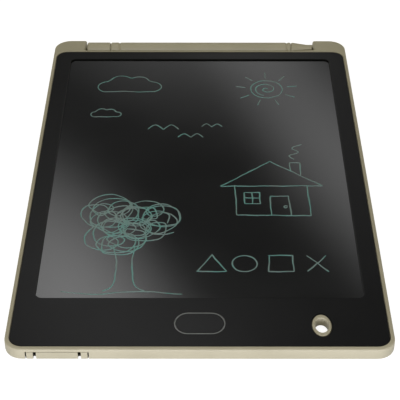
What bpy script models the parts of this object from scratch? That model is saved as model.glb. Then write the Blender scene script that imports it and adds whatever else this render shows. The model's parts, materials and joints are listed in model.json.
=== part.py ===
"""An LCD writing tablet with its stylus, built from separate pieces.

A shallow case holds a pressure sensitive film behind a black front panel. The panel's front margin
covers the electronics: a key that erases the film, its circuit board and a coin cell in a drawer
that slides out of the front wall. The stylus lies in an open trough along the back wall.

Metres, +Z up. The case lies on its back face with the drawer's wall towards -Y. The origin is under
the middle of the case, on the surface that it rests on.
"""

import math

import bmesh
import bpy
from mathutils import Matrix, Vector

# Case
CASE_WIDTH = 0.146
CASE_LENGTH = 0.2252
CASE_THICKNESS = 0.0048
SIDE_RIM_WIDTH = 0.0015
FRONT_RIM_WIDTH = 0.00182
BACK_STRIP = 0.0109
FLOOR = 0.0008
FRONT_CORNER_RADIUS = 0.0069
BACK_CORNER_RADIUS = 0.0078
TOP_EDGE_RADIUS = 0.0006
BOTTOM_EDGE_RADIUS = 0.0005
RECESS_CORNER_RADIUS = 0.0055
LEDGE_WIDTH = 0.003
FRONT_LEDGE_WIDTH = 0.0015
INNER_WALL = 0.001
POCKET_CORNER_RADIUS = 0.002

# Front panel and its window
PANEL_THICKNESS = 0.0004
PANEL_SINK = 0.0001
PANEL_GAP = 0.00025
PANEL_EDGE_CHAMFER = 0.00015
WINDOW_SIDE_MARGIN = 0.00766
WINDOW_BACK_MARGIN = 0.0072
WINDOW_CORNER_RADIUS = 0.0027
WINDOW_CHAMFER = 0.00025

# Sheets under the panel
LAYER_GAP = 0.0001
ADHESIVE_THICKNESS = 0.0001
ADHESIVE_INSET = 0.0005
FILM_THICKNESS = 0.0005
FILM_GAP = 0.0003
FILM_OVERLAP = 0.0045
FILM_CORNER_RADIUS = 0.0015
BACKING_THICKNESS = 0.0002
TAIL_BOND = 0.002
TAIL_WIDTH = 0.008
TAIL_THICKNESS = 0.00015
TAIL_FOOT = 0.0018
TAIL_RAMP = 0.0009

# Stylus and the trough that it lies in
STYLUS_RADIUS = 0.00297
STYLUS_GAP = 0.0003
NOSE_GAP = 0.0013
BUTT_GAP = 0.0009
TIP_GAP = 0.0003
LEFT_BLOCK = 0.0156
RIGHT_BLOCK = 0.0158
BLOCK_EDGE_RADIUS = 0.0013
TROUGH_WALL = 0.00103
TROUGH_FLOOR = 0.00082
LIP_TOP = 0.0024
BUTT_CHAMFER = 0.0004
TAIL_PLUG_LENGTH = 0.01164
TAIL_COLLAR = 0.0045
NOSE_LENGTH = 0.01114
NOSE_COLLAR = 0.00216
NOSE_END_RADIUS = 0.0015
GROOVE_HALF_WIDTH = 0.0006
GROOVE_DEPTH = 0.00045
SEAM_GAP = 0.0002
SPIGOT_RADIUS = 0.0016
SPIGOT_LENGTH = 0.005
SPIGOT_GAP = 0.0001
NIB_RADIUS = 0.0007
NIB_LENGTH = 0.009
NIB_PROUD = 0.0007
NIB_ROUNDING = 0.0004

# Coin cell and battery drawer
CELL_DIAMETER = 0.02
CELL_THICKNESS = 0.0016
CELL_GAP = 0.0003
CELL_RIM_STEP = 0.0012
CELL_CHAMFER = 0.0003
DRAWER_SIDE_INSET = 0.00872
DRAWER_SIDE_WALL = 0.00105
DRAWER_FACE = 0.0015
DRAWER_FACE_DROP = 0.00135
DRAWER_FACE_GAP = 0.0002
FACE_FLANGE_GAP = 0.0002
FACE_FLANGE_SETBACK = 0.0007
DRAWER_REAR_WALL = 0.0009
DRAWER_FLOOR = 0.0007
DRAWER_GAP = 0.0005
DRAWER_END_GAP = 0.0004
RAIL_WIDTH = 0.001
RAIL_GAP = 0.0002
BAY_WALL = 0.0012
FINGER_WIDTH = 0.00245
NOTCH_WIDTH = 0.00115
NOTCH_DEPTH = 0.00165
DETENT_HEIGHT = 0.0002
DETENT_LENGTH = 0.0012
DETENT_FROM_FACE = 0.0026

# Battery contacts
CONTACT_THICKNESS = 0.00015
CONTACT_WIDTH = 0.004
CONTACT_REACH = 0.006
CONTACT_FOOT = 0.0024
CONTACT_LEAN = 0.0006
LEAF_HALF_SPAN = 0.0026
LEAF_OPENING = 0.007
LEAD_GAP = 0.0001
LEAD_FOOT = 0.0025
LEAD_SETBACK = 0.0012
WALL_END_GAP = 0.0014

# Erase button
BUTTON_LENGTH = 0.019
BUTTON_HEIGHT = 0.01144
BUTTON_END_RUN = 0.0051
TRIM_WIDTH = 0.0003
TRIM_GAP = 0.0002
TRIM_THICKNESS = 0.0005
KEY_GAP = 0.00025
KEY_CHAMFER = 0.0001
FLANGE_REACH = 0.0008
FLANGE_THICKNESS = 0.0004
FLANGE_GAP = 0.0003
POST_RADIUS = 0.0015
DOME_RADIUS = 0.0025
DOME_HEIGHT = 0.0004
DOME_SHEET = 0.0001
DOME_VENT_RADIUS = 0.0003

# Circuit board and what stands on it
STANDOFF = 0.0003
BOARD_THICKNESS = 0.0006
BOARD_GAP = 0.0004
BOARD_BEYOND_BUTTON = 0.0053
BOARD_CORNER_RADIUS = 0.0008
BOSS_RADIUS = 0.0017
BOSS_BORE_RADIUS = 0.00075
BOSS_SKIN = 0.0003
SCREW_INSET = 0.0026
SCREW_HEAD_RADIUS = 0.0013
SCREW_HEAD_HEIGHT = 0.0005
SCREW_SHANK_RADIUS = 0.0006
SCREW_END_GAP = 0.0002
SCREW_CHAMFER = 0.00015
SCREW_SLOT_WIDTH = 0.0003
SCREW_SLOT_DEPTH = 0.00025
CHIP_WIDTH = 0.0049
CHIP_DEPTH = 0.0039
CHIP_HEIGHT = 0.001
CHIP_LEGS = 4
LEG_WIDTH = 0.0004
LEG_REACH = 0.0009
LEG_THICKNESS = 0.0002
DIODE_WIDTH = 0.0014
DIODE_DEPTH = 0.0026
DIODE_LEGS = 1
INDUCTOR_SIDE = 0.004
INDUCTOR_HEIGHT = 0.0013
INDUCTOR_BASE = 0.0004
INDUCTOR_CORE_RADIUS = 0.0018
CAPACITOR_LENGTH = 0.0016
CAPACITOR_WIDTH = 0.0009
CAPACITOR_HEIGHT = 0.0008
CAPACITORS = 4
RESISTOR_LENGTH = 0.0016
RESISTOR_WIDTH = 0.0008
RESISTOR_HEIGHT = 0.0004
RESISTORS = 4
PASSIVE_BEVEL = 0.00008

# Lanyard eyelet
EYELET_FROM_SIDE = 0.02685
EYELET_WIDTH = 0.00742
EYELET_LENGTH = 0.01207
EYELET_BORE_WIDTH = 0.0053
EYELET_BORE_LENGTH = 0.00818
EYELET_CROWN_CHAMFER = 0.0003
EYELET_MOUTH_CHAMFER = 0.0001
EYELET_BACK_CHAMFER = 0.00082
EYELET_GAP = 0.0003

# Cuts run past what they cut, and added walls root in what they stand on
OVERRUN = 0.001
ROOT = 0.0003

# Places along a span, as shares of it
BUTTON_DEPTH_SHARE = 0.595
EYELET_DEPTH_SHARE = 0.5505
RIB_SHARE = 0.3
TAIL_SHARE = 0.72
CHIP_SHARES = (0.70, 0.44)
DIODE_SHARES = (0.31, 0.24)
INDUCTOR_SHARES = (0.36, 0.55)
CAPACITOR_ROW_SHARES = (0.50, 0.94, 0.14)
RESISTOR_ROW_SHARES = (0.52, 0.94, 0.72)
CORNER_LIMIT_SHARE = 0.45

# Facets
CORNER_STEPS = 8
EDGE_STEPS = 3
ROUND_STEPS = 32
SMALL_ROUND_STEPS = 16
END_STEPS = 16
DOME_STEPS = 5

# Outline of the case, its recess and the walls inside
HALF_WIDTH = CASE_WIDTH / 2
FRONT = -CASE_LENGTH / 2
BACK = CASE_LENGTH / 2
RECESS_SIDE = HALF_WIDTH - SIDE_RIM_WIDTH
RECESS_FRONT = FRONT + FRONT_RIM_WIDTH
RECESS_BACK = BACK - BACK_STRIP
INNER_SIDE = RECESS_SIDE - LEDGE_WIDTH
INNER_FRONT = RECESS_FRONT + FRONT_LEDGE_WIDTH

# Drawer, and the partition behind it
CELL_RADIUS = CELL_DIAMETER / 2
CELL_POCKET_RADIUS = CELL_RADIUS + CELL_GAP
DRAWER_HALF_WIDTH = CELL_POCKET_RADIUS + DRAWER_SIDE_WALL
DRAWER_X = -HALF_WIDTH + DRAWER_SIDE_INSET + DRAWER_HALF_WIDTH
DRAWER_REAR = FRONT + DRAWER_FACE + 2 * CELL_POCKET_RADIUS + DRAWER_REAR_WALL
CELL_Y = FRONT + DRAWER_FACE + CELL_POCKET_RADIUS
BAY_HALF_WIDTH = DRAWER_HALF_WIDTH + DRAWER_GAP
BAY_LEFT = DRAWER_X - BAY_HALF_WIDTH
BAY_RIGHT = DRAWER_X + BAY_HALF_WIDTH
PARTITION_FRONT = DRAWER_REAR + DRAWER_END_GAP
PARTITION_REAR = PARTITION_FRONT + INNER_WALL

# Film and window
FILM_SIDE = INNER_SIDE - FILM_GAP
FILM_FRONT = PARTITION_REAR + FILM_GAP
FILM_BACK = RECESS_BACK - LEDGE_WIDTH - FILM_GAP
WINDOW_SIDE = RECESS_SIDE - WINDOW_SIDE_MARGIN
WINDOW_FRONT = FILM_FRONT + FILM_OVERLAP
WINDOW_BACK = RECESS_BACK - WINDOW_BACK_MARGIN

# Levels, from the panel down to the support board
PANEL_TOP = CASE_THICKNESS - PANEL_SINK
PANEL_BOTTOM = PANEL_TOP - PANEL_THICKNESS
ADHESIVE_TOP = PANEL_BOTTOM - LAYER_GAP
ADHESIVE_BOTTOM = ADHESIVE_TOP - ADHESIVE_THICKNESS
LEDGE_TOP = ADHESIVE_BOTTOM - LAYER_GAP
FILM_TOP = LEDGE_TOP
FILM_BOTTOM = FILM_TOP - FILM_THICKNESS
BACKING_TOP = FILM_BOTTOM - LAYER_GAP
BACKING_BOTTOM = BACKING_TOP - BACKING_THICKNESS
SUPPORT_TOP = BACKING_BOTTOM - LAYER_GAP
SUPPORT_BOTTOM = FLOOR + LAYER_GAP

# Levels of the electronics
BOSS_TOP = FLOOR + STANDOFF
BOARD_BOTTOM = BOSS_TOP + LAYER_GAP
BOARD_TOP = BOARD_BOTTOM + BOARD_THICKNESS
MOUNTED = BOARD_TOP + LAYER_GAP
DOME_TOP = MOUNTED + DOME_HEIGHT
POST_BOTTOM = DOME_TOP + LAYER_GAP
FLANGE_TOP = PANEL_BOTTOM - FLANGE_GAP
FLANGE_BOTTOM = FLANGE_TOP - FLANGE_THICKNESS

# Levels of the drawer
RAIL_TOP = DRAWER_FLOOR - RAIL_GAP
CELL_BOTTOM = DRAWER_FLOOR + LAYER_GAP
CELL_TOP = CELL_BOTTOM + CELL_THICKNESS
DRAWER_FACE_TOP = CASE_THICKNESS - DRAWER_FACE_DROP
CONTACT_BOTTOM = CELL_TOP + LAYER_GAP

# Button and eyelet places
COMPARTMENT_DEPTH = PARTITION_FRONT - RECESS_FRONT
BUTTON_Y = RECESS_FRONT + BUTTON_DEPTH_SHARE * COMPARTMENT_DEPTH
BUTTON_HOLE_GROW = TRIM_WIDTH / 2 + TRIM_GAP
FLANGE_GROW = BUTTON_HOLE_GROW + FLANGE_REACH
FLANGE_HALF_LENGTH = BUTTON_LENGTH / 2 + FLANGE_GROW
EYELET_X = HALF_WIDTH - EYELET_FROM_SIDE
EYELET_Y = RECESS_FRONT + EYELET_DEPTH_SHARE * COMPARTMENT_DEPTH
EYELET = (EYELET_X, EYELET_Y)

# Circuit board
BOARD_LEFT = BAY_RIGHT + BAY_WALL + BOARD_GAP
BOARD_RIGHT = FLANGE_HALF_LENGTH + BOARD_BEYOND_BUTTON
BOARD_FRONT = INNER_FRONT + BOARD_GAP
BOARD_BACK = PARTITION_FRONT - BOARD_GAP
EYELET_LEFT = EYELET_X - EYELET_WIDTH / 2
RIB_LEFT = BOARD_RIGHT + RIB_SHARE * (EYELET_LEFT - BOARD_RIGHT)
SCREWS = (
    (BOARD_LEFT + SCREW_INSET, BOARD_FRONT + SCREW_INSET),
    (BOARD_RIGHT - SCREW_INSET, BOARD_BACK - SCREW_INSET),
)

# Trough and stylus
TROUGH_RADIUS = STYLUS_RADIUS + STYLUS_GAP
NOSE_TROUGH_RADIUS = NOSE_END_RADIUS + NOSE_GAP
TROUGH_Y = RECESS_BACK + TROUGH_WALL + TROUGH_RADIUS
TROUGH_Z = TROUGH_FLOOR + TROUGH_RADIUS
TROUGH_LEFT = -HALF_WIDTH + LEFT_BLOCK
TROUGH_RIGHT = HALF_WIDTH - RIGHT_BLOCK
BUTT_X = TROUGH_LEFT + BUTT_GAP
TIP_X = TROUGH_RIGHT - TIP_GAP
TAIL_SEAM = BUTT_X + TAIL_PLUG_LENGTH
TAIL_GROOVE = TAIL_SEAM + TAIL_COLLAR
NOSE_SEAM = TIP_X - NOSE_LENGTH
NOSE_GROOVE = NOSE_SEAM - NOSE_COLLAR
CONE_START = NOSE_SEAM + GROOVE_HALF_WIDTH
NOSE_END = TIP_X - NIB_PROUD
GROOVE_RADIUS = STYLUS_RADIUS - GROOVE_DEPTH
BARREL_BORE = SPIGOT_RADIUS + SPIGOT_GAP

# Colour, roughness and metallic value of each finish
FINISHES = {
    "beige_plastic": ((0.43, 0.39, 0.30), 0.55, 0.0),
    "black_panel": ((0.017, 0.017, 0.017), 0.42, 0.0),
    "black_film": ((0.012, 0.014, 0.014), 0.18, 0.0),
    "black_sheet": ((0.01, 0.01, 0.01), 0.7, 0.0),
    "grey_board": ((0.22, 0.22, 0.21), 0.9, 0.0),
    "clear_tape": ((0.05, 0.05, 0.05), 0.5, 0.0),
    "grey_trim": ((0.12, 0.125, 0.12), 0.35, 0.0),
    "amber_polyimide": ((0.45, 0.18, 0.03), 0.4, 0.0),
    "green_board": ((0.02, 0.12, 0.04), 0.45, 0.0),
    "steel": ((0.6, 0.6, 0.58), 0.3, 1.0),
    "nickel": ((0.7, 0.68, 0.62), 0.28, 1.0),
    "chip_epoxy": ((0.02, 0.02, 0.022), 0.6, 0.0),
    "ferrite": ((0.06, 0.06, 0.06), 0.65, 0.0),
    "ceramic": ((0.42, 0.30, 0.17), 0.5, 0.0),
    "resistor_black": ((0.015, 0.015, 0.015), 0.4, 0.0),
    "nib_grey": ((0.05, 0.045, 0.04), 0.5, 0.0),
}


def clear_scene():
    for obj in list(bpy.data.objects):
        bpy.data.objects.remove(obj)


def finish(obj, name):
    """Gives the object its own material, with the named finish."""
    colour, roughness, metallic = FINISHES[name]
    material = bpy.data.materials.new(obj.name)
    material.use_nodes = True
    shader = material.node_tree.nodes["Principled BSDF"]
    shader.inputs["Base Color"].default_value = (*colour, 1.0)
    shader.inputs["Roughness"].default_value = roughness
    shader.inputs["Metallic"].default_value = metallic
    obj.data.materials.append(material)
    return obj


# Outlines in the XY plane, anticlockwise


def rounded_outline(low, high, front_radius, back_radius=None):
    """A rectangle with round corners. A radius too large for the rectangle is limited by it."""
    most = CORNER_LIMIT_SHARE * min(high[0] - low[0], high[1] - low[1])
    front = min(front_radius, most)
    back = min(front_radius if back_radius is None else back_radius, most)
    corners = (
        (high[0] - front, low[1] + front, front, -90),
        (high[0] - back, high[1] - back, back, 0),
        (low[0] + back, high[1] - back, back, 90),
        (low[0] + front, low[1] + front, front, 180),
    )
    points = []
    for x, y, radius, start in corners:
        for step in range(CORNER_STEPS + 1):
            angle = math.radians(start + 90 * step / CORNER_STEPS)
            points.append((x + radius * math.cos(angle), y + radius * math.sin(angle)))
    return points


def box_outline(low, high):
    return [(low[0], low[1]), (high[0], low[1]), (high[0], high[1]), (low[0], high[1])]


def centred_box(centre, width, depth):
    low = (centre[0] - width / 2, centre[1] - depth / 2)
    high = (centre[0] + width / 2, centre[1] + depth / 2)
    return box_outline(low, high)


def ellipse_outline(centre, x_radius, y_radius, steps=ROUND_STEPS):
    angles = [2 * math.pi * step / steps for step in range(steps)]
    return [
        (centre[0] + x_radius * math.cos(angle), centre[1] + y_radius * math.sin(angle))
        for angle in angles
    ]


def button_outline(grow):
    """The button's oblong, with half-ellipse ends, moved out all round by grow."""
    end_run = BUTTON_END_RUN + grow
    straight = BUTTON_LENGTH / 2 - BUTTON_END_RUN
    half_height = BUTTON_HEIGHT / 2 + grow
    points = []
    for side, start in ((1, -90), (-1, 90)):
        for step in range(END_STEPS + 1):
            angle = math.radians(start + 180 * step / END_STEPS)
            x = side * straight + end_run * math.cos(angle)
            points.append((x, BUTTON_Y + half_height * math.sin(angle)))
    return points


def comb_outline(centre, width, depth, legs):
    """A rectangle with legs along its front and its back side."""
    half_width, half_depth = width / 2, depth / 2
    pitch = width / legs
    middles = [pitch * (leg + 1 / 2) - half_width for leg in range(legs)]
    front = [(-half_width, -half_depth)]
    for middle in middles:
        for x, reach in ((-1, 0), (-1, 1), (1, 1), (1, 0)):
            front.append((middle + x * LEG_WIDTH / 2, -half_depth - reach * LEG_REACH))
    front.append((half_width, -half_depth))
    back = [(-x, -y) for x, y in front]
    return [(centre[0] + x, centre[1] + y) for x, y in front + back]


def strip_outline(route, thickness):
    """The outline of a strip of sheet metal that follows a route of points."""
    route = [Vector(point) for point in route]
    left, right = [], []
    for index, point in enumerate(route):
        before = (point - route[max(index - 1, 0)]).normalized()
        after = (route[min(index + 1, len(route) - 1)] - point).normalized()
        along = (before + after).normalized()
        normal = Vector((-along.y, along.x))
        bend = max(before.length and normal.dot((-before.y, before.x)), 1 / 2)
        offset = normal * (thickness / 2 / bend)
        left.append(point + offset)
        right.append(point - offset)
    return [tuple(point) for point in right + left[::-1]]


# Rings of points, which a solid is lofted through


def ring(outline, z):
    return [(x, y, z) for x, y in outline]


def prism(outline, low, high):
    return [ring(outline, low), ring(outline, high)]


def upright_along_x(outline, low, high):
    """An outline of (y, z) points, drawn out along X."""
    return [[(x, y, z) for y, z in outline] for x in (low, high)]


def upright_along_y(outline, low, high):
    """An outline of (x, z) points, drawn out along Y."""
    return [[(x, y, z) for x, z in outline] for y in (low, high)]


def turned_on_z(profile, centre, steps=ROUND_STEPS):
    """Rings about a vertical axis, through a profile of (radius, z) points."""
    return [ring(ellipse_outline(centre, radius, radius, steps), z) for radius, z in profile]


def turned_on_stylus(profile):
    """Rings about the stylus's axis, through a profile of (x, radius) points."""
    return [
        [(x, y, z) for y, z in ellipse_outline((TROUGH_Y, TROUGH_Z), radius, radius)]
        for x, radius in profile
    ]


# Solids


def solid(name, *parts, closed=False):
    """One object of one or more lofts. A closed loft joins its last ring to its first."""
    shape = bmesh.new()
    for rings in parts:
        rows = [[shape.verts.new(point) for point in points] for points in rings]
        if closed:
            rows.append(rows[0])
        else:
            shape.faces.new(rows[0])
            shape.faces.new(rows[-1])
        for lower, upper in zip(rows, rows[1:]):
            for index, corner in enumerate(lower):
                other = (index + 1) % len(lower)
                shape.faces.new((corner, lower[other], upper[other], upper[index]))
    bmesh.ops.recalc_face_normals(shape, faces=shape.faces)
    mesh = bpy.data.meshes.new(name)
    shape.to_mesh(mesh)
    shape.free()
    obj = bpy.data.objects.new(name, mesh)
    bpy.context.scene.collection.objects.link(obj)
    return obj


def change(target, operation, name, *parts):
    """A Boolean on the target, with a helper solid that isn't rendered."""
    helper = solid(f"{target.name}_{name}", *parts)
    apply_helper(target, operation, helper)


def apply_helper(target, operation, helper):
    helper.hide_render = True
    helper.display_type = "WIRE"
    modifier = target.modifiers.new(helper.name, "BOOLEAN")
    modifier.operation = operation
    modifier.object = helper


def cut(target, name, *parts):
    change(target, "DIFFERENCE", name, *parts)


def add(target, name, *parts):
    change(target, "UNION", name, *parts)


def smooth(obj):
    """Shades a round piece smooth, and keeps its real edges sharp."""
    obj.data.shade_smooth()
    obj.data.set_sharp_from_angle(angle=math.radians(35))
    return obj


def carrier(name, origin):
    """An empty on a joint's axis, which the moving pieces are parented to."""
    empty = bpy.data.objects.new(name, None)
    empty.location = origin
    empty.empty_display_size = CELL_RADIUS
    bpy.context.scene.collection.objects.link(empty)
    return empty


def hang(obj, empty):
    """Parents a piece to its carrier, with its own origin there."""
    obj.data.transform(Matrix.Translation(-empty.location))
    obj.parent = empty


# Case


def case_rings():
    """The outside of the case, with its bottom and top edges rounded over."""
    levels = []
    for step in range(EDGE_STEPS + 1):
        angle = math.radians(90 * step / EDGE_STEPS)
        inset, rise = 1 - math.sin(angle), 1 - math.cos(angle)
        levels.append((BOTTOM_EDGE_RADIUS * rise, BOTTOM_EDGE_RADIUS * inset))
    for step in reversed(range(EDGE_STEPS + 1)):
        angle = math.radians(90 * step / EDGE_STEPS)
        inset, fall = 1 - math.sin(angle), 1 - math.cos(angle)
        levels.append((CASE_THICKNESS - TOP_EDGE_RADIUS * fall, TOP_EDGE_RADIUS * inset))
    rings = []
    for z, inset in levels:
        outline = rounded_outline(
            (-HALF_WIDTH + inset, FRONT + inset),
            (HALF_WIDTH - inset, BACK - inset),
            FRONT_CORNER_RADIUS - inset,
            BACK_CORNER_RADIUS - inset,
        )
        rings.append(ring(outline, z))
    return rings


def pocket(low, high, floor, radius=POCKET_CORNER_RADIUS):
    return prism(rounded_outline(low, high, radius), floor, CASE_THICKNESS + OVERRUN)


def cut_inner_pockets(shell):
    film_low, film_high = (-INNER_SIDE, PARTITION_REAR), (INNER_SIDE, RECESS_BACK - LEDGE_WIDTH)
    cut(shell, "film_pocket", pocket(film_low, film_high, FLOOR))
    corner_low, corner_high = (-INNER_SIDE, INNER_FRONT), (BAY_LEFT - BAY_WALL, PARTITION_FRONT)
    cut(shell, "corner_pocket", pocket(corner_low, corner_high, FLOOR))
    board_low, board_high = (BAY_RIGHT + BAY_WALL, INNER_FRONT), (RIB_LEFT, PARTITION_FRONT)
    cut(shell, "board_pocket", pocket(board_low, board_high, FLOOR))
    eyelet_low, eyelet_high = (RIB_LEFT + INNER_WALL, INNER_FRONT), (INNER_SIDE, PARTITION_FRONT)
    cut(shell, "eyelet_pocket", pocket(eyelet_low, eyelet_high, FLOOR))


def cut_battery_bay(shell):
    """The bay stands open to the front and below, with a rail under each side of the drawer."""
    bay = box_outline((BAY_LEFT, RECESS_FRONT), (BAY_RIGHT, PARTITION_FRONT))
    cut(shell, "bay", prism(bay, RAIL_TOP, CASE_THICKNESS + OVERRUN))
    doorway_low = (BAY_LEFT, FRONT - OVERRUN)
    doorway_high = (BAY_RIGHT, FRONT + DRAWER_FACE + DRAWER_END_GAP)
    doorway = box_outline(doorway_low, doorway_high)
    cut(shell, "doorway", prism(doorway, -OVERRUN, DRAWER_FACE_TOP + DRAWER_FACE_GAP))
    well_half = DRAWER_HALF_WIDTH - RAIL_WIDTH + RAIL_GAP
    well_rear = DRAWER_REAR - RAIL_WIDTH + RAIL_GAP
    well = box_outline((DRAWER_X - well_half, FRONT), (DRAWER_X + well_half, well_rear))
    cut(shell, "well", prism(well, -OVERRUN, CELL_TOP))
    over_wall_high = (BAY_RIGHT + BAY_WALL + OVERRUN, PARTITION_FRONT)
    over_wall = box_outline((BAY_RIGHT - OVERRUN, INNER_FRONT), over_wall_high)
    cut(shell, "contact_passage", prism(over_wall, CELL_TOP, CASE_THICKNESS + OVERRUN))
    behind_wall_low = (BAY_RIGHT - OVERRUN, PARTITION_FRONT - WALL_END_GAP)
    behind_wall = box_outline(behind_wall_low, over_wall_high)
    cut(shell, "lead_passage", prism(behind_wall, FLOOR, CASE_THICKNESS + OVERRUN))


def cut_tail_passage(shell):
    half_width = TAIL_WIDTH / 2 + FILM_GAP
    low = (TAIL_X - half_width, PARTITION_FRONT - OVERRUN)
    high = (TAIL_X + half_width, PARTITION_REAR + OVERRUN)
    floor = FILM_BOTTOM - LAYER_GAP - TAIL_THICKNESS - FILM_GAP
    cut(shell, "tail_passage", prism(box_outline(low, high), floor, CASE_THICKNESS + OVERRUN))


def trough_section(x, radius):
    """A round bottom about the stylus's axis, with straight sides up past the rim."""
    top = CASE_THICKNESS + OVERRUN
    points = [(x, TROUGH_Y - radius, top)]
    for step in range(END_STEPS + 1):
        angle = math.radians(180 + 180 * step / END_STEPS)
        y, z = TROUGH_Y + radius * math.cos(angle), TROUGH_Z + radius * math.sin(angle)
        points.append((x, y, z))
    points.append((x, TROUGH_Y + radius, top))
    return points


def off_block_edge(x, side):
    """The space outside the quarter round on a block's top edge, at the trough's end."""
    axis_x, axis_z = x + side * BLOCK_EDGE_RADIUS, CASE_THICKNESS - BLOCK_EDGE_RADIUS
    points = [
        (x - side * OVERRUN, axis_z),
        (x - side * OVERRUN, CASE_THICKNESS + OVERRUN),
        (axis_x, CASE_THICKNESS + OVERRUN),
    ]
    for step in range(EDGE_STEPS + 1):
        angle = math.radians(90 * step / EDGE_STEPS)
        out, up = BLOCK_EDGE_RADIUS * math.sin(angle), BLOCK_EDGE_RADIUS * math.cos(angle)
        points.append((axis_x - side * out, axis_z + up))
    return points


def cut_trough(shell):
    """The trough narrows with the stylus's nose. Its outer wall is only a low lip."""
    sections = (
        (TROUGH_LEFT, TROUGH_RADIUS),
        (CONE_START, TROUGH_RADIUS),
        (NOSE_END, NOSE_TROUGH_RADIUS),
        (TROUGH_RIGHT, NOSE_TROUGH_RADIUS),
    )
    cut(shell, "trough", [trough_section(x, radius) for x, radius in sections])
    over_lip = box_outline((TROUGH_LEFT, TROUGH_Y), (TROUGH_RIGHT, BACK + OVERRUN))
    cut(shell, "over_lip", prism(over_lip, LIP_TOP, CASE_THICKNESS + OVERRUN))
    for name, x, side, radius in (
        ("left", TROUGH_LEFT, -1, TROUGH_RADIUS),
        ("right", TROUGH_RIGHT, 1, NOSE_TROUGH_RADIUS),
    ):
        start = TROUGH_Y - radius + STYLUS_GAP
        edge = upright_along_y(off_block_edge(x, side), start, BACK + OVERRUN)
        cut(shell, f"{name}_block_edge", edge)


def add_eyelet(shell):
    """A ring that stands up from the floor, round a hole through the whole case."""
    outside = (EYELET_WIDTH / 2, EYELET_LENGTH / 2)
    crown = tuple(size - EYELET_CROWN_CHAMFER for size in outside)
    tube = (
        (outside, FLOOR - ROOT),
        (outside, PANEL_TOP - EYELET_CROWN_CHAMFER),
        (crown, PANEL_TOP),
    )
    add(shell, "eyelet_tube", [ring(ellipse_outline(EYELET, *size), z) for size, z in tube])
    bore = (EYELET_BORE_WIDTH / 2, EYELET_BORE_LENGTH / 2)
    mouth = tuple(size + EYELET_MOUTH_CHAMFER for size in bore)
    back = tuple(size + EYELET_BACK_CHAMFER for size in bore)
    levels = (
        (back, -OVERRUN),
        (back, 0),
        (bore, EYELET_BACK_CHAMFER),
        (bore, PANEL_TOP - EYELET_MOUTH_CHAMFER),
        (mouth, PANEL_TOP),
        (mouth, PANEL_TOP + OVERRUN),
    )
    cut(shell, "eyelet_bore", [ring(ellipse_outline(EYELET, *size), z) for size, z in levels])


def add_screw_bosses(shell):
    bosses = [
        turned_on_z(((BOSS_RADIUS, FLOOR - ROOT), (BOSS_RADIUS, BOSS_TOP)), screw)
        for screw in SCREWS
    ]
    add(shell, "bosses", *bosses)
    bore = ((BOSS_BORE_RADIUS, BOSS_SKIN), (BOSS_BORE_RADIUS, BOSS_TOP + OVERRUN))
    cut(shell, "boss_bores", *[turned_on_z(bore, screw, SMALL_ROUND_STEPS) for screw in SCREWS])


def rear_shell():
    shell = solid("rear_shell", case_rings())
    recess_low, recess_high = (-RECESS_SIDE, RECESS_FRONT), (RECESS_SIDE, RECESS_BACK)
    cut(shell, "recess", pocket(recess_low, recess_high, LEDGE_TOP, RECESS_CORNER_RADIUS))
    cut_inner_pockets(shell)
    cut_battery_bay(shell)
    cut_tail_passage(shell)
    cut_trough(shell)
    add_eyelet(shell)
    add_screw_bosses(shell)
    return finish(shell, "beige_plastic")


# Panel and sheets


def panel_outline(inset):
    reach = PANEL_GAP + inset
    return rounded_outline(
        (-RECESS_SIDE + reach, RECESS_FRONT + reach),
        (RECESS_SIDE - reach, RECESS_BACK - reach),
        RECESS_CORNER_RADIUS - reach,
    )


def window_outline(grow):
    return rounded_outline(
        (-WINDOW_SIDE - grow, WINDOW_FRONT - grow),
        (WINDOW_SIDE + grow, WINDOW_BACK + grow),
        WINDOW_CORNER_RADIUS + grow,
    )


def eyelet_hole(low, high):
    width, length = EYELET_WIDTH / 2 + EYELET_GAP, EYELET_LENGTH / 2 + EYELET_GAP
    return prism(ellipse_outline(EYELET, width, length), low - OVERRUN, high + OVERRUN)


def front_panel():
    rings = [
        ring(panel_outline(0), PANEL_BOTTOM),
        ring(panel_outline(0), PANEL_TOP - PANEL_EDGE_CHAMFER),
        ring(panel_outline(PANEL_EDGE_CHAMFER), PANEL_TOP),
    ]
    panel = solid("front_panel", rings)
    low, high = PANEL_BOTTOM - OVERRUN, PANEL_TOP + OVERRUN
    window = [
        ring(window_outline(0), low),
        ring(window_outline(0), PANEL_TOP - WINDOW_CHAMFER),
        ring(window_outline(WINDOW_CHAMFER), PANEL_TOP),
        ring(window_outline(WINDOW_CHAMFER), high),
    ]
    cut(panel, "window", window)
    cut(panel, "button_hole", prism(button_outline(BUTTON_HOLE_GROW), low, high))
    cut(panel, "eyelet_hole", eyelet_hole(PANEL_BOTTOM, PANEL_TOP))
    return finish(panel, "black_panel")


def panel_adhesive_frame():
    rings = prism(panel_outline(ADHESIVE_INSET), ADHESIVE_BOTTOM, ADHESIVE_TOP)
    frame = solid("panel_adhesive_frame", rings)
    low, high = ADHESIVE_BOTTOM - OVERRUN, ADHESIVE_TOP + OVERRUN
    cut(frame, "window", prism(window_outline(ADHESIVE_INSET), low, high))
    chin = rounded_outline((BAY_LEFT, INNER_FRONT), (RIB_LEFT, PARTITION_FRONT), POCKET_CORNER_RADIUS)
    cut(frame, "electronics", prism(chin, low, high))
    cut(frame, "eyelet_hole", eyelet_hole(ADHESIVE_BOTTOM, ADHESIVE_TOP))
    return finish(frame, "clear_tape")


def sheet(name, front, low, high, look):
    outline = rounded_outline((-FILM_SIDE, front), (FILM_SIDE, FILM_BACK), FILM_CORNER_RADIUS)
    return finish(solid(name, prism(outline, low, high)), look)


def writing_film():
    return sheet("writing_film", FILM_FRONT, FILM_BOTTOM, FILM_TOP, "black_film")


def black_backing_sheet():
    front = FILM_FRONT + TAIL_BOND
    return sheet("black_backing_sheet", front, BACKING_BOTTOM, BACKING_TOP, "black_sheet")


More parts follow.
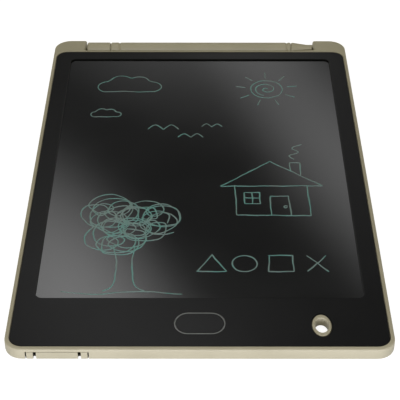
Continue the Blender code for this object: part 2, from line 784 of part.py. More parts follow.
def support_board():
    front = FILM_FRONT + TAIL_BOND
    return sheet("support_board", front, SUPPORT_BOTTOM, SUPPORT_TOP, "grey_board")


def film_flex_tail():
    """A ribbon from under the film's front edge, through the partition, down to the board."""
    upper = FILM_BOTTOM - LAYER_GAP - TAIL_THICKNESS / 2
    lower = MOUNTED + TAIL_THICKNESS / 2
    ramp_top = PARTITION_FRONT - BOARD_GAP
    ramp_foot = ramp_top - TAIL_RAMP
    route = (
        (ramp_foot - TAIL_FOOT, lower),
        (ramp_foot, lower),
        (ramp_top, upper),
        (FILM_FRONT + TAIL_BOND - FILM_GAP, upper),
    )
    outline = strip_outline(route, TAIL_THICKNESS)
    half_width = TAIL_WIDTH / 2
    rings = upright_along_x(outline, TAIL_X - half_width, TAIL_X + half_width)
    return finish(solid("film_flex_tail", rings), "amber_polyimide")


# Circuit board


def board_place(x_share, y_share):
    """A place on the part of the board beside the button, from its front left corner."""
    x = BOARD_LEFT + x_share * (-FLANGE_HALF_LENGTH - BOARD_LEFT)
    y = BOARD_FRONT + y_share * (BOARD_BACK - BOARD_FRONT)
    return x, y


TAIL_X = board_place(TAIL_SHARE, 0)[0]


def circuit_board():
    outline = rounded_outline(
        (BOARD_LEFT, BOARD_FRONT), (BOARD_RIGHT, BOARD_BACK), BOARD_CORNER_RADIUS
    )
    board = solid("circuit_board", prism(outline, BOARD_BOTTOM, BOARD_TOP))
    hole = (
        (BOSS_BORE_RADIUS, BOARD_BOTTOM - OVERRUN),
        (BOSS_BORE_RADIUS, BOARD_TOP + OVERRUN),
    )
    cut(board, "screw_holes", *[turned_on_z(hole, screw, SMALL_ROUND_STEPS) for screw in SCREWS])
    return finish(board, "green_board")


def circuit_board_screw(name, centre):
    head_top = MOUNTED + SCREW_HEAD_HEIGHT
    profile = (
        (SCREW_SHANK_RADIUS - SCREW_CHAMFER, BOSS_SKIN + SCREW_END_GAP),
        (SCREW_SHANK_RADIUS, BOSS_SKIN + SCREW_END_GAP + SCREW_CHAMFER),
        (SCREW_SHANK_RADIUS, MOUNTED),
        (SCREW_HEAD_RADIUS, MOUNTED),
        (SCREW_HEAD_RADIUS, head_top - SCREW_CHAMFER),
        (SCREW_HEAD_RADIUS - SCREW_CHAMFER, head_top),
    )
    screw = solid(name, turned_on_z(profile, centre, SMALL_ROUND_STEPS))
    slot = centred_box(centre, 2 * SCREW_HEAD_RADIUS + OVERRUN, SCREW_SLOT_WIDTH)
    cut(screw, "slot", prism(slot, head_top - SCREW_SLOT_DEPTH, head_top + OVERRUN))
    return finish(screw, "steel")


def leaded_package(name, shares, width, depth, legs):
    """A moulded body on legs that reach out of its front and its back side."""
    centre = board_place(*shares)
    leads = comb_outline(centre, width - 2 * LEG_THICKNESS, depth - 2 * LEG_THICKNESS, legs)
    package = solid(name, prism(leads, MOUNTED, MOUNTED + LEG_THICKNESS))
    body = prism(
        centred_box(centre, width, depth), MOUNTED + LEG_THICKNESS / 2, MOUNTED + CHIP_HEIGHT
    )
    add(package, "body", body)
    return finish(package, "chip_epoxy")


def driver_chip():
    return leaded_package("driver_chip", CHIP_SHARES, CHIP_WIDTH, CHIP_DEPTH, CHIP_LEGS)


def rectifier_diode():
    return leaded_package("rectifier_diode", DIODE_SHARES, DIODE_WIDTH, DIODE_DEPTH, DIODE_LEGS)


def boost_inductor():
    """A square base with a round wound core on it, under a square top."""
    centre = board_place(*INDUCTOR_SHARES)
    side = centred_box(centre, INDUCTOR_SIDE, INDUCTOR_SIDE)
    top = MOUNTED + INDUCTOR_HEIGHT
    inductor = solid("boost_inductor", prism(side, MOUNTED, MOUNTED + INDUCTOR_BASE))
    core = ((INDUCTOR_CORE_RADIUS, MOUNTED + INDUCTOR_BASE / 2), (INDUCTOR_CORE_RADIUS, top))
    add(inductor, "core", turned_on_z(core, centre, SMALL_ROUND_STEPS))
    return finish(inductor, "ferrite")


def chip_part(name, centre, size, look):
    """A small soldered part: a block with its top edges eased."""
    length, width, height = size
    inner = centred_box(centre, width - 2 * PASSIVE_BEVEL, length - 2 * PASSIVE_BEVEL)
    outer = centred_box(centre, width, length)
    top = MOUNTED + height
    rings = [ring(outer, MOUNTED), ring(outer, top - PASSIVE_BEVEL), ring(inner, top)]
    return finish(solid(name, rings), look)


def row_of_chip_parts(name, row_shares, count, size, look):
    first, last, depth = row_shares
    for index in range(count):
        centre = board_place(first + (last - first) * index / (count - 1), depth)
        chip_part(f"{name}_{index + 1}", centre, size, look)


def chip_capacitors():
    size = (CAPACITOR_LENGTH, CAPACITOR_WIDTH, CAPACITOR_HEIGHT)
    row_of_chip_parts("chip_capacitor", CAPACITOR_ROW_SHARES, CAPACITORS, size, "ceramic")


def chip_resistors():
    size = (RESISTOR_LENGTH, RESISTOR_WIDTH, RESISTOR_HEIGHT)
    row_of_chip_parts("chip_resistor", RESISTOR_ROW_SHARES, RESISTORS, size, "resistor_black")


# Erase button


def erase_button_trim_ring():
    bottom = PANEL_TOP - TRIM_THICKNESS
    inner, outer = button_outline(-TRIM_WIDTH / 2), button_outline(TRIM_WIDTH / 2)
    rings = [ring(inner, bottom), ring(outer, bottom), ring(outer, PANEL_TOP), ring(inner, PANEL_TOP)]
    return finish(smooth(solid("erase_button_trim_ring", rings, closed=True)), "grey_trim")


def erase_button():
    """A key level with the panel, on a flange that keeps it in, with a post over the dome."""
    key = -TRIM_WIDTH / 2 - KEY_GAP
    rings = [
        ring(button_outline(FLANGE_GROW), FLANGE_BOTTOM),
        ring(button_outline(FLANGE_GROW), FLANGE_TOP),
        ring(button_outline(key), FLANGE_TOP),
        ring(button_outline(key), PANEL_TOP - KEY_CHAMFER),
        ring(button_outline(key - KEY_CHAMFER), PANEL_TOP),
    ]
    button = solid("erase_button", rings)
    post = ((POST_RADIUS, POST_BOTTOM), (POST_RADIUS, FLANGE_TOP - LAYER_GAP))
    add(button, "post", turned_on_z(post, (0, BUTTON_Y), SMALL_ROUND_STEPS))
    return finish(button, "black_panel")


def snap_dome():
    """A thin sprung dish, hollow side down, with a small vent at its crown."""

    def side(rise, foot):
        points = []
        for step in range(DOME_STEPS + 1):
            share = step / DOME_STEPS
            radius = DOME_RADIUS + (DOME_VENT_RADIUS - DOME_RADIUS) * share
            height = rise * math.sin(math.pi / 2 * share)
            points.append((radius, foot + height))
        return points

    upper = side(DOME_HEIGHT - DOME_SHEET, MOUNTED + DOME_SHEET)
    lower = side(DOME_HEIGHT - DOME_SHEET, MOUNTED)
    rings = turned_on_z(upper + lower[::-1], (0, BUTTON_Y))
    return finish(smooth(solid("snap_dome", rings, closed=True)), "steel")


# Battery


def battery_drawer():
    """A tray for the coin cell, with a face that closes the front wall and two pull notches.

    A flange behind the face shuts the gap at each side of it.
    """
    left, right = DRAWER_X - DRAWER_HALF_WIDTH, DRAWER_X + DRAWER_HALF_WIDTH
    body = box_outline((left, FRONT + DRAWER_FACE / 2), (right, DRAWER_REAR))
    drawer = solid("battery_drawer", prism(body, DRAWER_FLOOR - ROOT / 2, CELL_TOP))
    lower = box_outline(
        (left + RAIL_WIDTH, FRONT + DRAWER_FACE / 2), (right - RAIL_WIDTH, DRAWER_REAR - RAIL_WIDTH)
    )
    add(drawer, "keel", prism(lower, -OVERRUN, DRAWER_FLOOR))
    face = box_outline((left, FRONT - OVERRUN), (right, FRONT + DRAWER_FACE))
    add(drawer, "face", prism(face, -OVERRUN, DRAWER_FACE_TOP))
    flange_low = (BAY_LEFT + FACE_FLANGE_GAP, FRONT + FACE_FLANGE_SETBACK)
    flange = box_outline(flange_low, (BAY_RIGHT - FACE_FLANGE_GAP, FRONT + DRAWER_FACE))
    add(drawer, "flange", prism(flange, -OVERRUN, DRAWER_FACE_TOP))
    well = (
        (CELL_POCKET_RADIUS, DRAWER_FLOOR),
        (CELL_POCKET_RADIUS, CASE_THICKNESS + OVERRUN),
    )
    cut(drawer, "cell_pocket", turned_on_z(well, (DRAWER_X, CELL_Y)))
    opening = box_outline(
        (DRAWER_X - LEAF_OPENING / 2, CELL_Y), (DRAWER_X + LEAF_OPENING / 2, DRAWER_REAR + OVERRUN)
    )
    cut(drawer, "leaf_opening", prism(opening, DRAWER_FLOOR, CASE_THICKNESS))
    cut_pull_notches(drawer)
    add_detents(drawer)
    outside = solid("battery_drawer_outside", case_rings())
    apply_helper(drawer, "INTERSECT", outside)
    return finish(drawer, "beige_plastic")


def cut_pull_notches(drawer):
    """Each notch is open to the cell's pocket above the floor, and goes through it in front."""
    middle = DRAWER_HALF_WIDTH - FINGER_WIDTH - NOTCH_WIDTH / 2
    for name, side in (("left", -1), ("right", 1)):
        x = DRAWER_X + side * middle
        low, high = x - NOTCH_WIDTH / 2, x + NOTCH_WIDTH / 2
        slot = box_outline((low, FRONT - OVERRUN - OVERRUN), (high, CELL_Y - CELL_RADIUS / 2))
        cut(drawer, f"{name}_slot", prism(slot, DRAWER_FLOOR, CASE_THICKNESS))
        notch = box_outline((low, FRONT - OVERRUN - OVERRUN), (high, FRONT + NOTCH_DEPTH))
        cut(drawer, f"{name}_notch", prism(notch, -OVERRUN - OVERRUN, CASE_THICKNESS))


def add_detents(drawer):
    """A low bump on each side, which rubs the bay's wall and holds the drawer in."""
    start = FRONT + DRAWER_FACE + DETENT_FROM_FACE
    for name, side in (("left", -1), ("right", 1)):
        x = DRAWER_X + side * DRAWER_HALF_WIDTH
        bump = (
            (x - side * ROOT, start),
            (x - side * ROOT, start + DETENT_LENGTH),
            (x, start + DETENT_LENGTH),
            (x + side * DETENT_HEIGHT, start + DETENT_LENGTH / 2),
            (x, start),
        )
        add(drawer, f"{name}_detent", prism(bump, CELL_BOTTOM, CELL_TOP - LAYER_GAP))


def coin_cell():
    """A steel can with a smaller cap in its mouth. The cap faces up."""
    edge = CELL_RADIUS - CELL_CHAMFER
    cap = CELL_RADIUS - CELL_RIM_STEP
    profile = (
        (edge, CELL_BOTTOM),
        (CELL_RADIUS, CELL_BOTTOM + CELL_CHAMFER),
        (CELL_RADIUS, CELL_TOP - CELL_CHAMFER),
        (edge, CELL_TOP - LAYER_GAP),
        (cap, CELL_TOP - LAYER_GAP),
        (cap - LAYER_GAP, CELL_TOP),
    )
    return finish(smooth(solid("coin_cell", turned_on_z(profile, (DRAWER_X, CELL_Y)))), "steel")


def negative_contact():
    """A spring strip soldered to the board, which reaches over the bay's wall onto the cell."""
    foot = MOUNTED + CONTACT_THICKNESS / 2
    over = CONTACT_BOTTOM + CONTACT_THICKNESS / 2
    route = (
        (BOARD_LEFT + CONTACT_FOOT, foot),
        (BOARD_LEFT + CONTACT_LEAN, foot),
        (BOARD_LEFT - CONTACT_LEAN, over),
        (BAY_RIGHT - DRAWER_SIDE_WALL - CONTACT_REACH, over),
    )
    outline = strip_outline(route, CONTACT_THICKNESS)
    half_width = CONTACT_WIDTH / 2
    rings = upright_along_y(outline, CELL_Y - half_width, CELL_Y + half_width)
    return finish(solid("negative_contact", rings), "nickel")


def positive_contact():
    """A leaf that bows against the cell's rim, with a lead along the partition to the board."""
    half_sheet = CONTACT_THICKNESS / 2
    along = PARTITION_FRONT - LEAD_GAP - half_sheet
    crown = CELL_Y + CELL_RADIUS + LEAD_GAP + half_sheet
    leaf_route = (
        (DRAWER_X - LEAF_HALF_SPAN, along),
        (DRAWER_X, crown),
        (DRAWER_X + LEAF_HALF_SPAN, along),
        (DRAWER_X + LEAF_HALF_SPAN + LEAD_FOOT, along),
    )
    leaf = prism(strip_outline(leaf_route, CONTACT_THICKNESS), CELL_BOTTOM, CELL_TOP)
    contact = solid("positive_contact", leaf)
    setback = PARTITION_FRONT - BOARD_GAP - LEAD_SETBACK
    lead_route = (
        (DRAWER_X + LEAF_HALF_SPAN + LEAD_FOOT / 2, along),
        (BAY_RIGHT + BAY_WALL, along),
        (BOARD_LEFT + LEAD_SETBACK, setback),
        (BOARD_LEFT + LEAD_SETBACK + LEAD_FOOT, setback),
    )
    lead = prism(strip_outline(lead_route, CONTACT_THICKNESS), MOUNTED, CELL_TOP - LAYER_GAP)
    add(contact, "lead", lead)
    return finish(contact, "nickel")


# Stylus


def groove(x):
    return (
        (x - GROOVE_HALF_WIDTH, STYLUS_RADIUS),
        (x, GROOVE_RADIUS),
        (x + GROOVE_HALF_WIDTH, STYLUS_RADIUS),
    )


def stylus_tail_plug():
    seam = TAIL_SEAM - SEAM_GAP / 2
    profile = (
        (BUTT_X, STYLUS_RADIUS - BUTT_CHAMFER),
        (BUTT_X + BUTT_CHAMFER, STYLUS_RADIUS),
        (TAIL_SEAM - GROOVE_HALF_WIDTH, STYLUS_RADIUS),
        (seam, GROOVE_RADIUS),
        (seam, SPIGOT_RADIUS),
        (seam + SPIGOT_LENGTH, SPIGOT_RADIUS),
    )
    return finish(smooth(solid("stylus_tail_plug", turned_on_stylus(profile))), "beige_plastic")


def stylus_barrel():
    """A tube with a groove at each end piece and one more groove beside each of them."""
    start, end = TAIL_SEAM + SEAM_GAP / 2, NOSE_SEAM - SEAM_GAP / 2
    profile = (
        (start, BARREL_BORE),
        (start, GROOVE_RADIUS),
        (TAIL_SEAM + GROOVE_HALF_WIDTH, STYLUS_RADIUS),
        *groove(TAIL_GROOVE),
        *groove(NOSE_GROOVE),
        (NOSE_SEAM - GROOVE_HALF_WIDTH, STYLUS_RADIUS),
        (end, GROOVE_RADIUS),
        (end, BARREL_BORE),
    )
    barrel = solid("stylus_barrel", turned_on_stylus(profile), closed=True)
    return finish(smooth(barrel), "beige_plastic")


def stylus_nose_cone():
    seam = NOSE_SEAM + SEAM_GAP / 2
    bore = NIB_RADIUS + SPIGOT_GAP
    profile = (
        (seam - SPIGOT_LENGTH, bore),
        (seam - SPIGOT_LENGTH, SPIGOT_RADIUS),
        (seam, SPIGOT_RADIUS),
        (seam, GROOVE_RADIUS),
        (CONE_START, STYLUS_RADIUS),
        (NOSE_END, NOSE_END_RADIUS),
        (NOSE_END, bore),
    )
    nose = solid("stylus_nose_cone", turned_on_stylus(profile), closed=True)
    return finish(smooth(nose), "beige_plastic")


def stylus_nib():
    profile = (
        (TIP_X - NIB_LENGTH, NIB_RADIUS),
        (TIP_X - NIB_ROUNDING, NIB_RADIUS),
        (TIP_X - NIB_ROUNDING / 3, NIB_RADIUS - NIB_ROUNDING / 3),
        (TIP_X, NIB_RADIUS - NIB_ROUNDING),
    )
    return finish(smooth(solid("stylus_nib", turned_on_stylus(profile))), "nib_grey")


def fixed_pieces():
    rear_shell()
    front_panel()
    panel_adhesive_frame()
    writing_film()
    black_backing_sheet()
    support_board()
    film_flex_tail()
    circuit_board()
    for side, centre in zip(("left", "right"), SCREWS):
        circuit_board_screw(f"circuit_board_screw_{side}", centre)
    driver_chip()
    rectifier_diode()
    boost_inductor()
    chip_capacitors()
    chip_resistors()
    snap_dome()
    erase_button_trim_ring()
    negative_contact()
    positive_contact()


def moving_pieces():
    hang(erase_button(), carrier("button_axis", (0, BUTTON_Y, PANEL_TOP)))
    drawer_axis = carrier("drawer_axis", (DRAWER_X, FRONT, CELL_BOTTOM))
    for piece in (battery_drawer(), coin_cell()):
        hang(piece, drawer_axis)
    stylus_axis = carrier("stylus_axis", ((BUTT_X + TIP_X) / 2, TROUGH_Y, TROUGH_Z))
    for piece in (stylus_tail_plug(), stylus_barrel(), stylus_nose_cone(), stylus_nib()):
        hang(piece, stylus_axis)


clear_scene()
fixed_pieces()
moving_pieces()
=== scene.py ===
"""The looks of an LCD writing tablet: finishes, hand drawn strokes, camera, lights and floor.

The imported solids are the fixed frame. Pieces that need finer edges or rounder turns stand for their
solids, and every surface gets a finish of its own. Metres, +Z up, as in the frame.
"""

import json
import math
import random

import bmesh
import bpy
from mathutils import Matrix, Vector


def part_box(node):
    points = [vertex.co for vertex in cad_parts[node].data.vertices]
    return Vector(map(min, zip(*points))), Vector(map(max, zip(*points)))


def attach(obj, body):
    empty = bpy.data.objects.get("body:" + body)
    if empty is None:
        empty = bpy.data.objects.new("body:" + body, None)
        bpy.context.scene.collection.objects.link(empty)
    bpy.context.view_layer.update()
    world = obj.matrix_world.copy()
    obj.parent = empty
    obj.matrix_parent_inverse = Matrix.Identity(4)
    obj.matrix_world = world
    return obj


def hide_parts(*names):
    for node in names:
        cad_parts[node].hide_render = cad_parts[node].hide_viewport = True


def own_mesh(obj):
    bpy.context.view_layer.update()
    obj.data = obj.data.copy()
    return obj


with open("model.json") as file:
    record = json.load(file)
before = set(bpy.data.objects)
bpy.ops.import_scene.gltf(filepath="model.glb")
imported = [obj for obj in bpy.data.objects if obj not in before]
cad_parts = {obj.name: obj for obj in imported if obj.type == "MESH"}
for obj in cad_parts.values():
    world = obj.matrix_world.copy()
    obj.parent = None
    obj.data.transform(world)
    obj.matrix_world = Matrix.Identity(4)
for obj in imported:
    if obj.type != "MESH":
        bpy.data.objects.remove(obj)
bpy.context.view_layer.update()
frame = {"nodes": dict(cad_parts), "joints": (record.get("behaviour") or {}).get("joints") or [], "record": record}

# Camera, solved from the photograph's outline of the case
CAMERA_PLACE = Vector((0.00006, -0.45766, 0.33707))
CAMERA_DOWN = math.radians(37.278)
CAMERA_YAW = math.radians(0.027)
CAMERA_ROLL = math.radians(-0.037)
FOCAL_PIXELS = 1288.68
FRAME_PIXELS = 400
SENSOR_MM = 36.0
CAMERA_NEAR = 0.01

# Film surface
FILM_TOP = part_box("writing_film")[1].z

# Colours, linear. Where there are two, a finish wanders between them
BEIGE = (0.387, 0.351, 0.250), (0.438, 0.399, 0.289)
PANEL_BLACK = (0.0024, 0.0024, 0.0025), (0.0038, 0.0039, 0.0039)
KEY_BLACK = (0.0024, 0.0026, 0.0027), (0.0038, 0.0041, 0.0042)
TRIM_GREY = (0.17, 0.18, 0.175), (0.23, 0.24, 0.235)
NIB_GREY = (0.04, 0.036, 0.03), (0.06, 0.054, 0.045)
FILM_BLACK = (0.0062, 0.0064, 0.0063), (0.0088, 0.0091, 0.009)
TRACE_TEAL = (0.17, 0.25, 0.24), (0.10, 0.33, 0.30)
TRACE_SHADOW = (0.07, 0.16, 0.155)
BOARD_GREY = (0.17, 0.17, 0.165), (0.27, 0.27, 0.26)
BOARD_FLECK = (0.10, 0.10, 0.10)
SHEET_BLACK = (0.007, 0.007, 0.007), (0.014, 0.014, 0.014)
TAPE_BLACK = (0.04, 0.04, 0.04), (0.075, 0.075, 0.075)
MASK_GREEN = (0.012, 0.09, 0.03), (0.03, 0.19, 0.07)
EPOXY_BLACK = (0.015, 0.015, 0.017), (0.03, 0.03, 0.032)
FERRITE_GREY = (0.045, 0.045, 0.045), (0.085, 0.083, 0.08)
FLEX_AMBER = (0.36, 0.13, 0.02), (0.48, 0.2, 0.035)
FLEX_COPPER = (0.65, 0.33, 0.16)
CERAMIC_TAN = (0.42, 0.3, 0.17)
CERAMIC_BLACK = (0.015, 0.015, 0.015)
TINNED_PAD = (0.62, 0.61, 0.57)
TINNED_LEG = (0.7, 0.69, 0.66)
TINNED_END = (0.68, 0.67, 0.64)
NICKEL = (0.7, 0.68, 0.62)
STEEL = (0.6, 0.6, 0.58)

# Surface detail in metres: a grain's size and depth, or one of the two
SHELL_GRAIN = 0.00022, 0.000012
STYLUS_GRAIN = 0.00016, 0.000006
PANEL_GRAIN = 0.00018, 0.000008
TRIM_GRAIN = 0.0003, 0.000004
NIB_GRAIN = 0.0002, 0.000004
CLOUD_SIZE = 0.018
FILM_HAZE_SIZE = 0.03
FILM_SPECK_SIZE = 0.0006
FILM_WAVE = 0.012, 0.000006
PRESSURE_SIZE = 0.009
TRACE_SPECK_SIZE = 0.0005
BRUSH_LINE = 0.0002, 0.000003
RING_DEPTH = 0.000002
BOARD_FIBRE = 0.0008, 0.00004
BOARD_FLECK_SIZE = 0.002
SHEET_WEAVE = 0.0004, 0.00001
TAPE_TISSUE = 0.0012, 0.00001
TRACK_FIELD_SIZE = 0.004
TRACK_DEPTH = 0.00002
PAD_SIZE = 0.0011
EPOXY_GRAIN = 0.00012, 0.000006
FERRITE_GRAIN = 0.00015, 0.00001
CERAMIC_SPECK_SIZE = 0.0001
FLEX_STAIN_SIZE = 0.003

# Rates of rings and lines, in radians for each metre
RING_RATE = 30000.0
TRACK_RATE = 5200.0
FLEX_LINE_RATE = 4800.0

# How much finer a pattern lies along each axis
BRUSH_STRETCH = (0.1, 1.0, 1.0)
FIBRE_STRETCH = (1.0, 0.25, 1.0)
TISSUE_STRETCH = (1.0, 3.0, 1.0)

# Levels above which a pattern turns into a line, a pad or a fleck, and how strongly it then shows
TRACK_LEVEL = 0.35
TRACK_TURN_LEVEL = 0.5
PAD_LEVEL = 0.74
FLEX_LINE_LEVEL = 0.1
FLEX_LINE_STRENGTH = 0.75
FLECK_LEVEL = 0.62
FLECK_STRENGTH = 0.4

# Tones: what is owed to the finest grain, and the levels between which one colour turns into the other
GRAIN_SHARE = 0.3
TONE_RANGE = 0.3, 0.7
FILM_SPECK_SHARE = 0.2
FILM_TONE_RANGE = 0.25, 0.75
PRESSURE_RANGE = 0.35, 0.65
TRACE_SPECK_STRENGTH = 0.45

# Darker sides of a pattern, as shares of its colour
BRUSH_SHADE = 0.82
RING_SHADE = 0.85
CERAMIC_SHADE = 0.75

# Roughness: what a pattern adds, or the ends between which it moves
GRAIN_ROUGHENS = 0.12
CLOUD_ROUGHENS = 0.06
FILM_ROUGHNESS = 0.09
FILM_HAZE_ROUGHENS = 0.03
FILM_SPECK_ROUGHENS = 0.02
BRUSHED_ROUGHNESS = 0.2, 0.4
TURNED_ROUGHNESS = 0.22, 0.34
CHIP_ROUGHNESS = 0.6, 0.25
CAPPED_ROUGHNESS = 0.5, 0.3
PLAIN_GLOSS = 0.5

# Bodies of the small parts between their legs or caps
DRIVER_BODY_SHARE = 0.8
DIODE_BODY_SHARE = 0.75
CAPPED_BODY_SHARE = 0.6

# Stand-in pieces
WELD_DISTANCE = 1e-7
FLAT_ANGLE = math.radians(0.1)
SHARP_ANGLE = math.radians(32)

# Painted shade in the drawer's side gaps and notches, nearly black as their shadow: from where, to where and how
# deep, measured in from the drawer's box
SIDE_GAP_SHADE = (-0.0004, 0.00032, 0.00075)
NOTCH_GAP_SHADE = (0.0027, 0.00395, 0.0030)
GAP_SHADE_START = 0.0001
GAP_SHADE_RISE = 0.0002
GAP_SHADE_DROP = 0.00005
GAP_SHADE_COLOR = (0.02, 0.016, 0.01)

# Space left between the dome and the key's post when the key is down
DOME_SLACK = 0.00002

# Pen strokes
STROKE_WIDTH = 0.00058
STROKE_HEIGHT = 0.000012
STROKE_RISE = 0.00001
STROKE_STEP = 0.0004
STROKE_SHOULDER_SHARE = 0.55
LAYERS_TO_A_HEIGHT = 40
PRESS_SHARE = 0.16
PRESS_RATE = 2
WOBBLE = 0.00022
WOBBLE_LENGTH = 0.006
SLOW_SWAY = 2.7, 2.3
QUICK_SWAY_SHARE = 0.4
END_TAPER = 0.0007
END_BLUNTNESS = STROKE_STEP / 3
CURVE_STEPS = 8
ARC_STEP_DEGREES = 12
ARC_STEPS_LEAST = 6

# Drawings on the film: the middle and the size of each
TREE = (-0.030, -0.050), 0.058
HOUSE = (0.031, -0.012), 0.044
SUN = (0.032, 0.068), 0.032
CLOUD = (-0.034, 0.070), 0.034
SMALL_CLOUD = (-0.044, 0.046), 0.016
BIRDS = (-0.006, 0.030), 0.036
SHAPES = (0.024, -0.062), 0.05

# The sun's spiral, from and to where in degrees and how wide a turn is, and its rays
SPIRAL_START = 30
SPIRAL_END = 620
SPIRAL_STEP = 15
SPIRAL_TURN_SHARE = 0.108
RAYS = 9
RAY_LEAN = 0.2
RAY_SHARES = 0.31, 0.47

# Loops of the tree's crown, as shares of its reach
LOOP_POINTS = 8
LOOP_DRIFT_SHARE = 0.066
LOOP_AWAY_SHARE = 0.46
LOOP_AWAY_SWAY_SHARE = 0.26
LOOP_AWAY_RATE = 1.3
LOOP_SIZE_SHARE = 0.27
LOOP_SIZE_SWAY_SHARE = 0.06
LOOP_SIZE_RATE = 2.9
LOOP_UNEVEN = 0.85, 1.15

# Studio
FLOOR_DROP = 0.0001
FLOOR_HALF = 3.0
BACKDROP_HEIGHT = 0.56
BACKDROP_SIDES = 48
GROUND_PALE = (0.6, 0.6, 0.6)
GROUND_SEEN = (0.3, 0.3, 0.3)
GROUND_WHITE = 0.92
SKY_GLOW = (0.425, 0.415, 0.33)
SKY_LOW = 0.4
SKY_HIGH = 1.4
SKY_LEAN = 0.2
FLAG_GLOW = (0.075, 0.076, 0.08)
FLAG_AIM = (0.02, -0.11)
FLAG_INNER = math.radians(17)
FLAG_OUTER = math.radians(34)

# Low wide lamp before the front wall
LAMP_PLACE = (0.0, -0.30, 0.045)
LAMP_AIM = (0, -0.11, 0)
LAMP_WIDTH = 0.4
LAMP_HEIGHT = 0.06
LAMP_WATTS = 0.62
LAMP_COLOR = (1.0, 1.02, 1.13)

# Soft cards: where the reflection of each starts and ends on the film, its half width and its glow
CARD_DISTANCE = 1.0
CARDS = {
    "left_card": ((-0.110, 0.050), (0.014, -0.240), 0.152, 3.3),
    "right_card": ((-0.012, 0.190), (0.142, -0.176), 0.100, 1.5),
    "far_card": ((-0.126, 0.250), (0.075, 0.090), 0.200, 0.6),
    "front_card": ((-0.040, -0.135), (0.050, -0.135), 0.075, 5.0),
    "top_card": ((-0.030, 0.165), (0.080, 0.165), 0.070, 3.0),
}


class Amount:
    """A value that varies over a surface. Arithmetic on it adds Math nodes to its tree."""

    def __init__(self, tree, socket):
        self.tree = tree
        self.socket = socket

    def math(self, operation, *terms, clamp=False):
        settings = {"operation": operation, "use_clamp": clamp}
        return self.tree.node("Math", settings, dict(enumerate(terms)))

    def __add__(self, other):
        return self.math("ADD", self, other)

    __radd__ = __add__

    def __sub__(self, other):
        return self.math("SUBTRACT", self, other)

    def __rsub__(self, other):
        return self.math("SUBTRACT", other, self)

    def __mul__(self, other):
        return self.math("MULTIPLY", self, other)

    __rmul__ = __mul__

    def __truediv__(self, other):
        return self.math("DIVIDE", self, other)

    def __rtruediv__(self, other):
        return self.math("DIVIDE", other, self)

    def __abs__(self):
        return self.math("ABSOLUTE", self)

    def __gt__(self, other):
        return self.math("GREATER_THAN", self, other)

    def __lt__(self, other):
        return self.math("LESS_THAN", self, other)

    def clamped(self):
        return self.math("ADD", self, 0.0, clamp=True)

    def sine(self):
        return self.math("SINE", self)

    def root(self):
        return self.math("SQRT", self)

    def ramp(self, start, end):
        """Goes smoothly from 0, where this is start, to 1, where it is end."""
        settings = {"interpolation_type": "SMOOTHSTEP"}
        return self.tree.node("MapRange", settings, {0: self, 1: start, 2: end})

    def between(self, low, high):
        """Goes evenly from low, where this is 0, to high, where it is 1."""
        return self * (high - low) + low


class Tree:
    """A node tree, and the one way in which nodes are added to it."""

    def __init__(self, owner):
        owner.use_nodes = True
        self.nodes = owner.node_tree.nodes
        self.links = owner.node_tree.links

    def feed(self, socket, value):
        if isinstance(value, Amount):
            self.links.new(value.socket, socket)
        else:
            socket.default_value = value

    def node(self, kind, settings=None, sockets=None, output=0):
        """Adds a node, with its settings first and then its sockets' values or links. Gives one output."""
        made = self.nodes.new("ShaderNode" + kind)
        for name, value in (settings or {}).items():
            setattr(made, name, value)
        for name, value in (sockets or {}).items():
            self.feed(made.inputs[name], value)
        return Amount(self, made.outputs[output]) if made.outputs else None

    def place(self, kind="Object"):
        """Where a point lies: in metres on its piece, or from 0 to 1 over the piece's own box."""
        return self.node("TexCoord", output=kind)

    def along(self, place):
        """The three coordinates of a place, as amounts."""
        split = self.node("SeparateXYZ", sockets={0: place})
        outputs = split.socket.node.outputs
        return [Amount(self, outputs[i]) for i in range(3)]

    def stretched(self, place, factors):
        return self.node("VectorMath", {"operation": "MULTIPLY"}, {0: place, 1: factors})

    def inside(self, low, high):
        """1 where a point lies between two corners, and 0 elsewhere."""
        within = 1
        for reach, start, end in zip(self.along(self.place()), low, high):
            within = within * (reach > start) * (reach < end)
        return within

    def noise(self, place, size, detail=2.0):
        """Soft random spots of about that size in metres, from 0 to 1."""
        return self.node("TexNoise", {}, {"Vector": place, "Scale": 1 / size, "Detail": detail})

    def mix(self, factor, first, second):
        """A colour between two, first where factor is 0. Either may be an amount that holds a colour."""
        ends = {6: colored(first), 7: colored(second)}
        return self.node("Mix", {"data_type": "RGBA"}, {0: factor, **ends}, output=2)


class Finish(Tree):
    """A Principled material. Its colours are linear."""

    def __init__(self, name, roughness=0.5, metallic=0.0, gloss=PLAIN_GLOSS):
        self.material = bpy.data.materials.new(name)
        super().__init__(self.material)
        self.surface = self.nodes["Principled BSDF"].inputs
        self.feed(self.surface["Roughness"], roughness)
        self.feed(self.surface["Metallic"], metallic)
        self.feed(self.surface["Specular IOR Level"], gloss)

    def color(self, value):
        self.feed(self.surface["Base Color"], value)

    def rough(self, value):
        self.feed(self.surface["Roughness"], value)

    def metal(self, value):
        self.feed(self.surface["Metallic"], value)

    def relief(self, height, depth):
        """Raises the surface by height, from 0 to 1, times depth in metres."""
        sockets = {"Height": height, "Distance": depth}
        self.feed(self.surface["Normal"], self.node("Bump", {}, sockets))

    def grain(self, place, size_and_depth, detail=2.0):
        """Random spots that also stand up from the surface."""
        size, depth = size_and_depth
        spots = self.noise(place, size, detail)
        self.relief(spots, depth)
        return spots


def colored(value):
    """A value for a colour socket: an amount as it is, or a linear colour made opaque."""
    return value if isinstance(value, Amount) else (*value, 1.0)


# Finishes of the outside


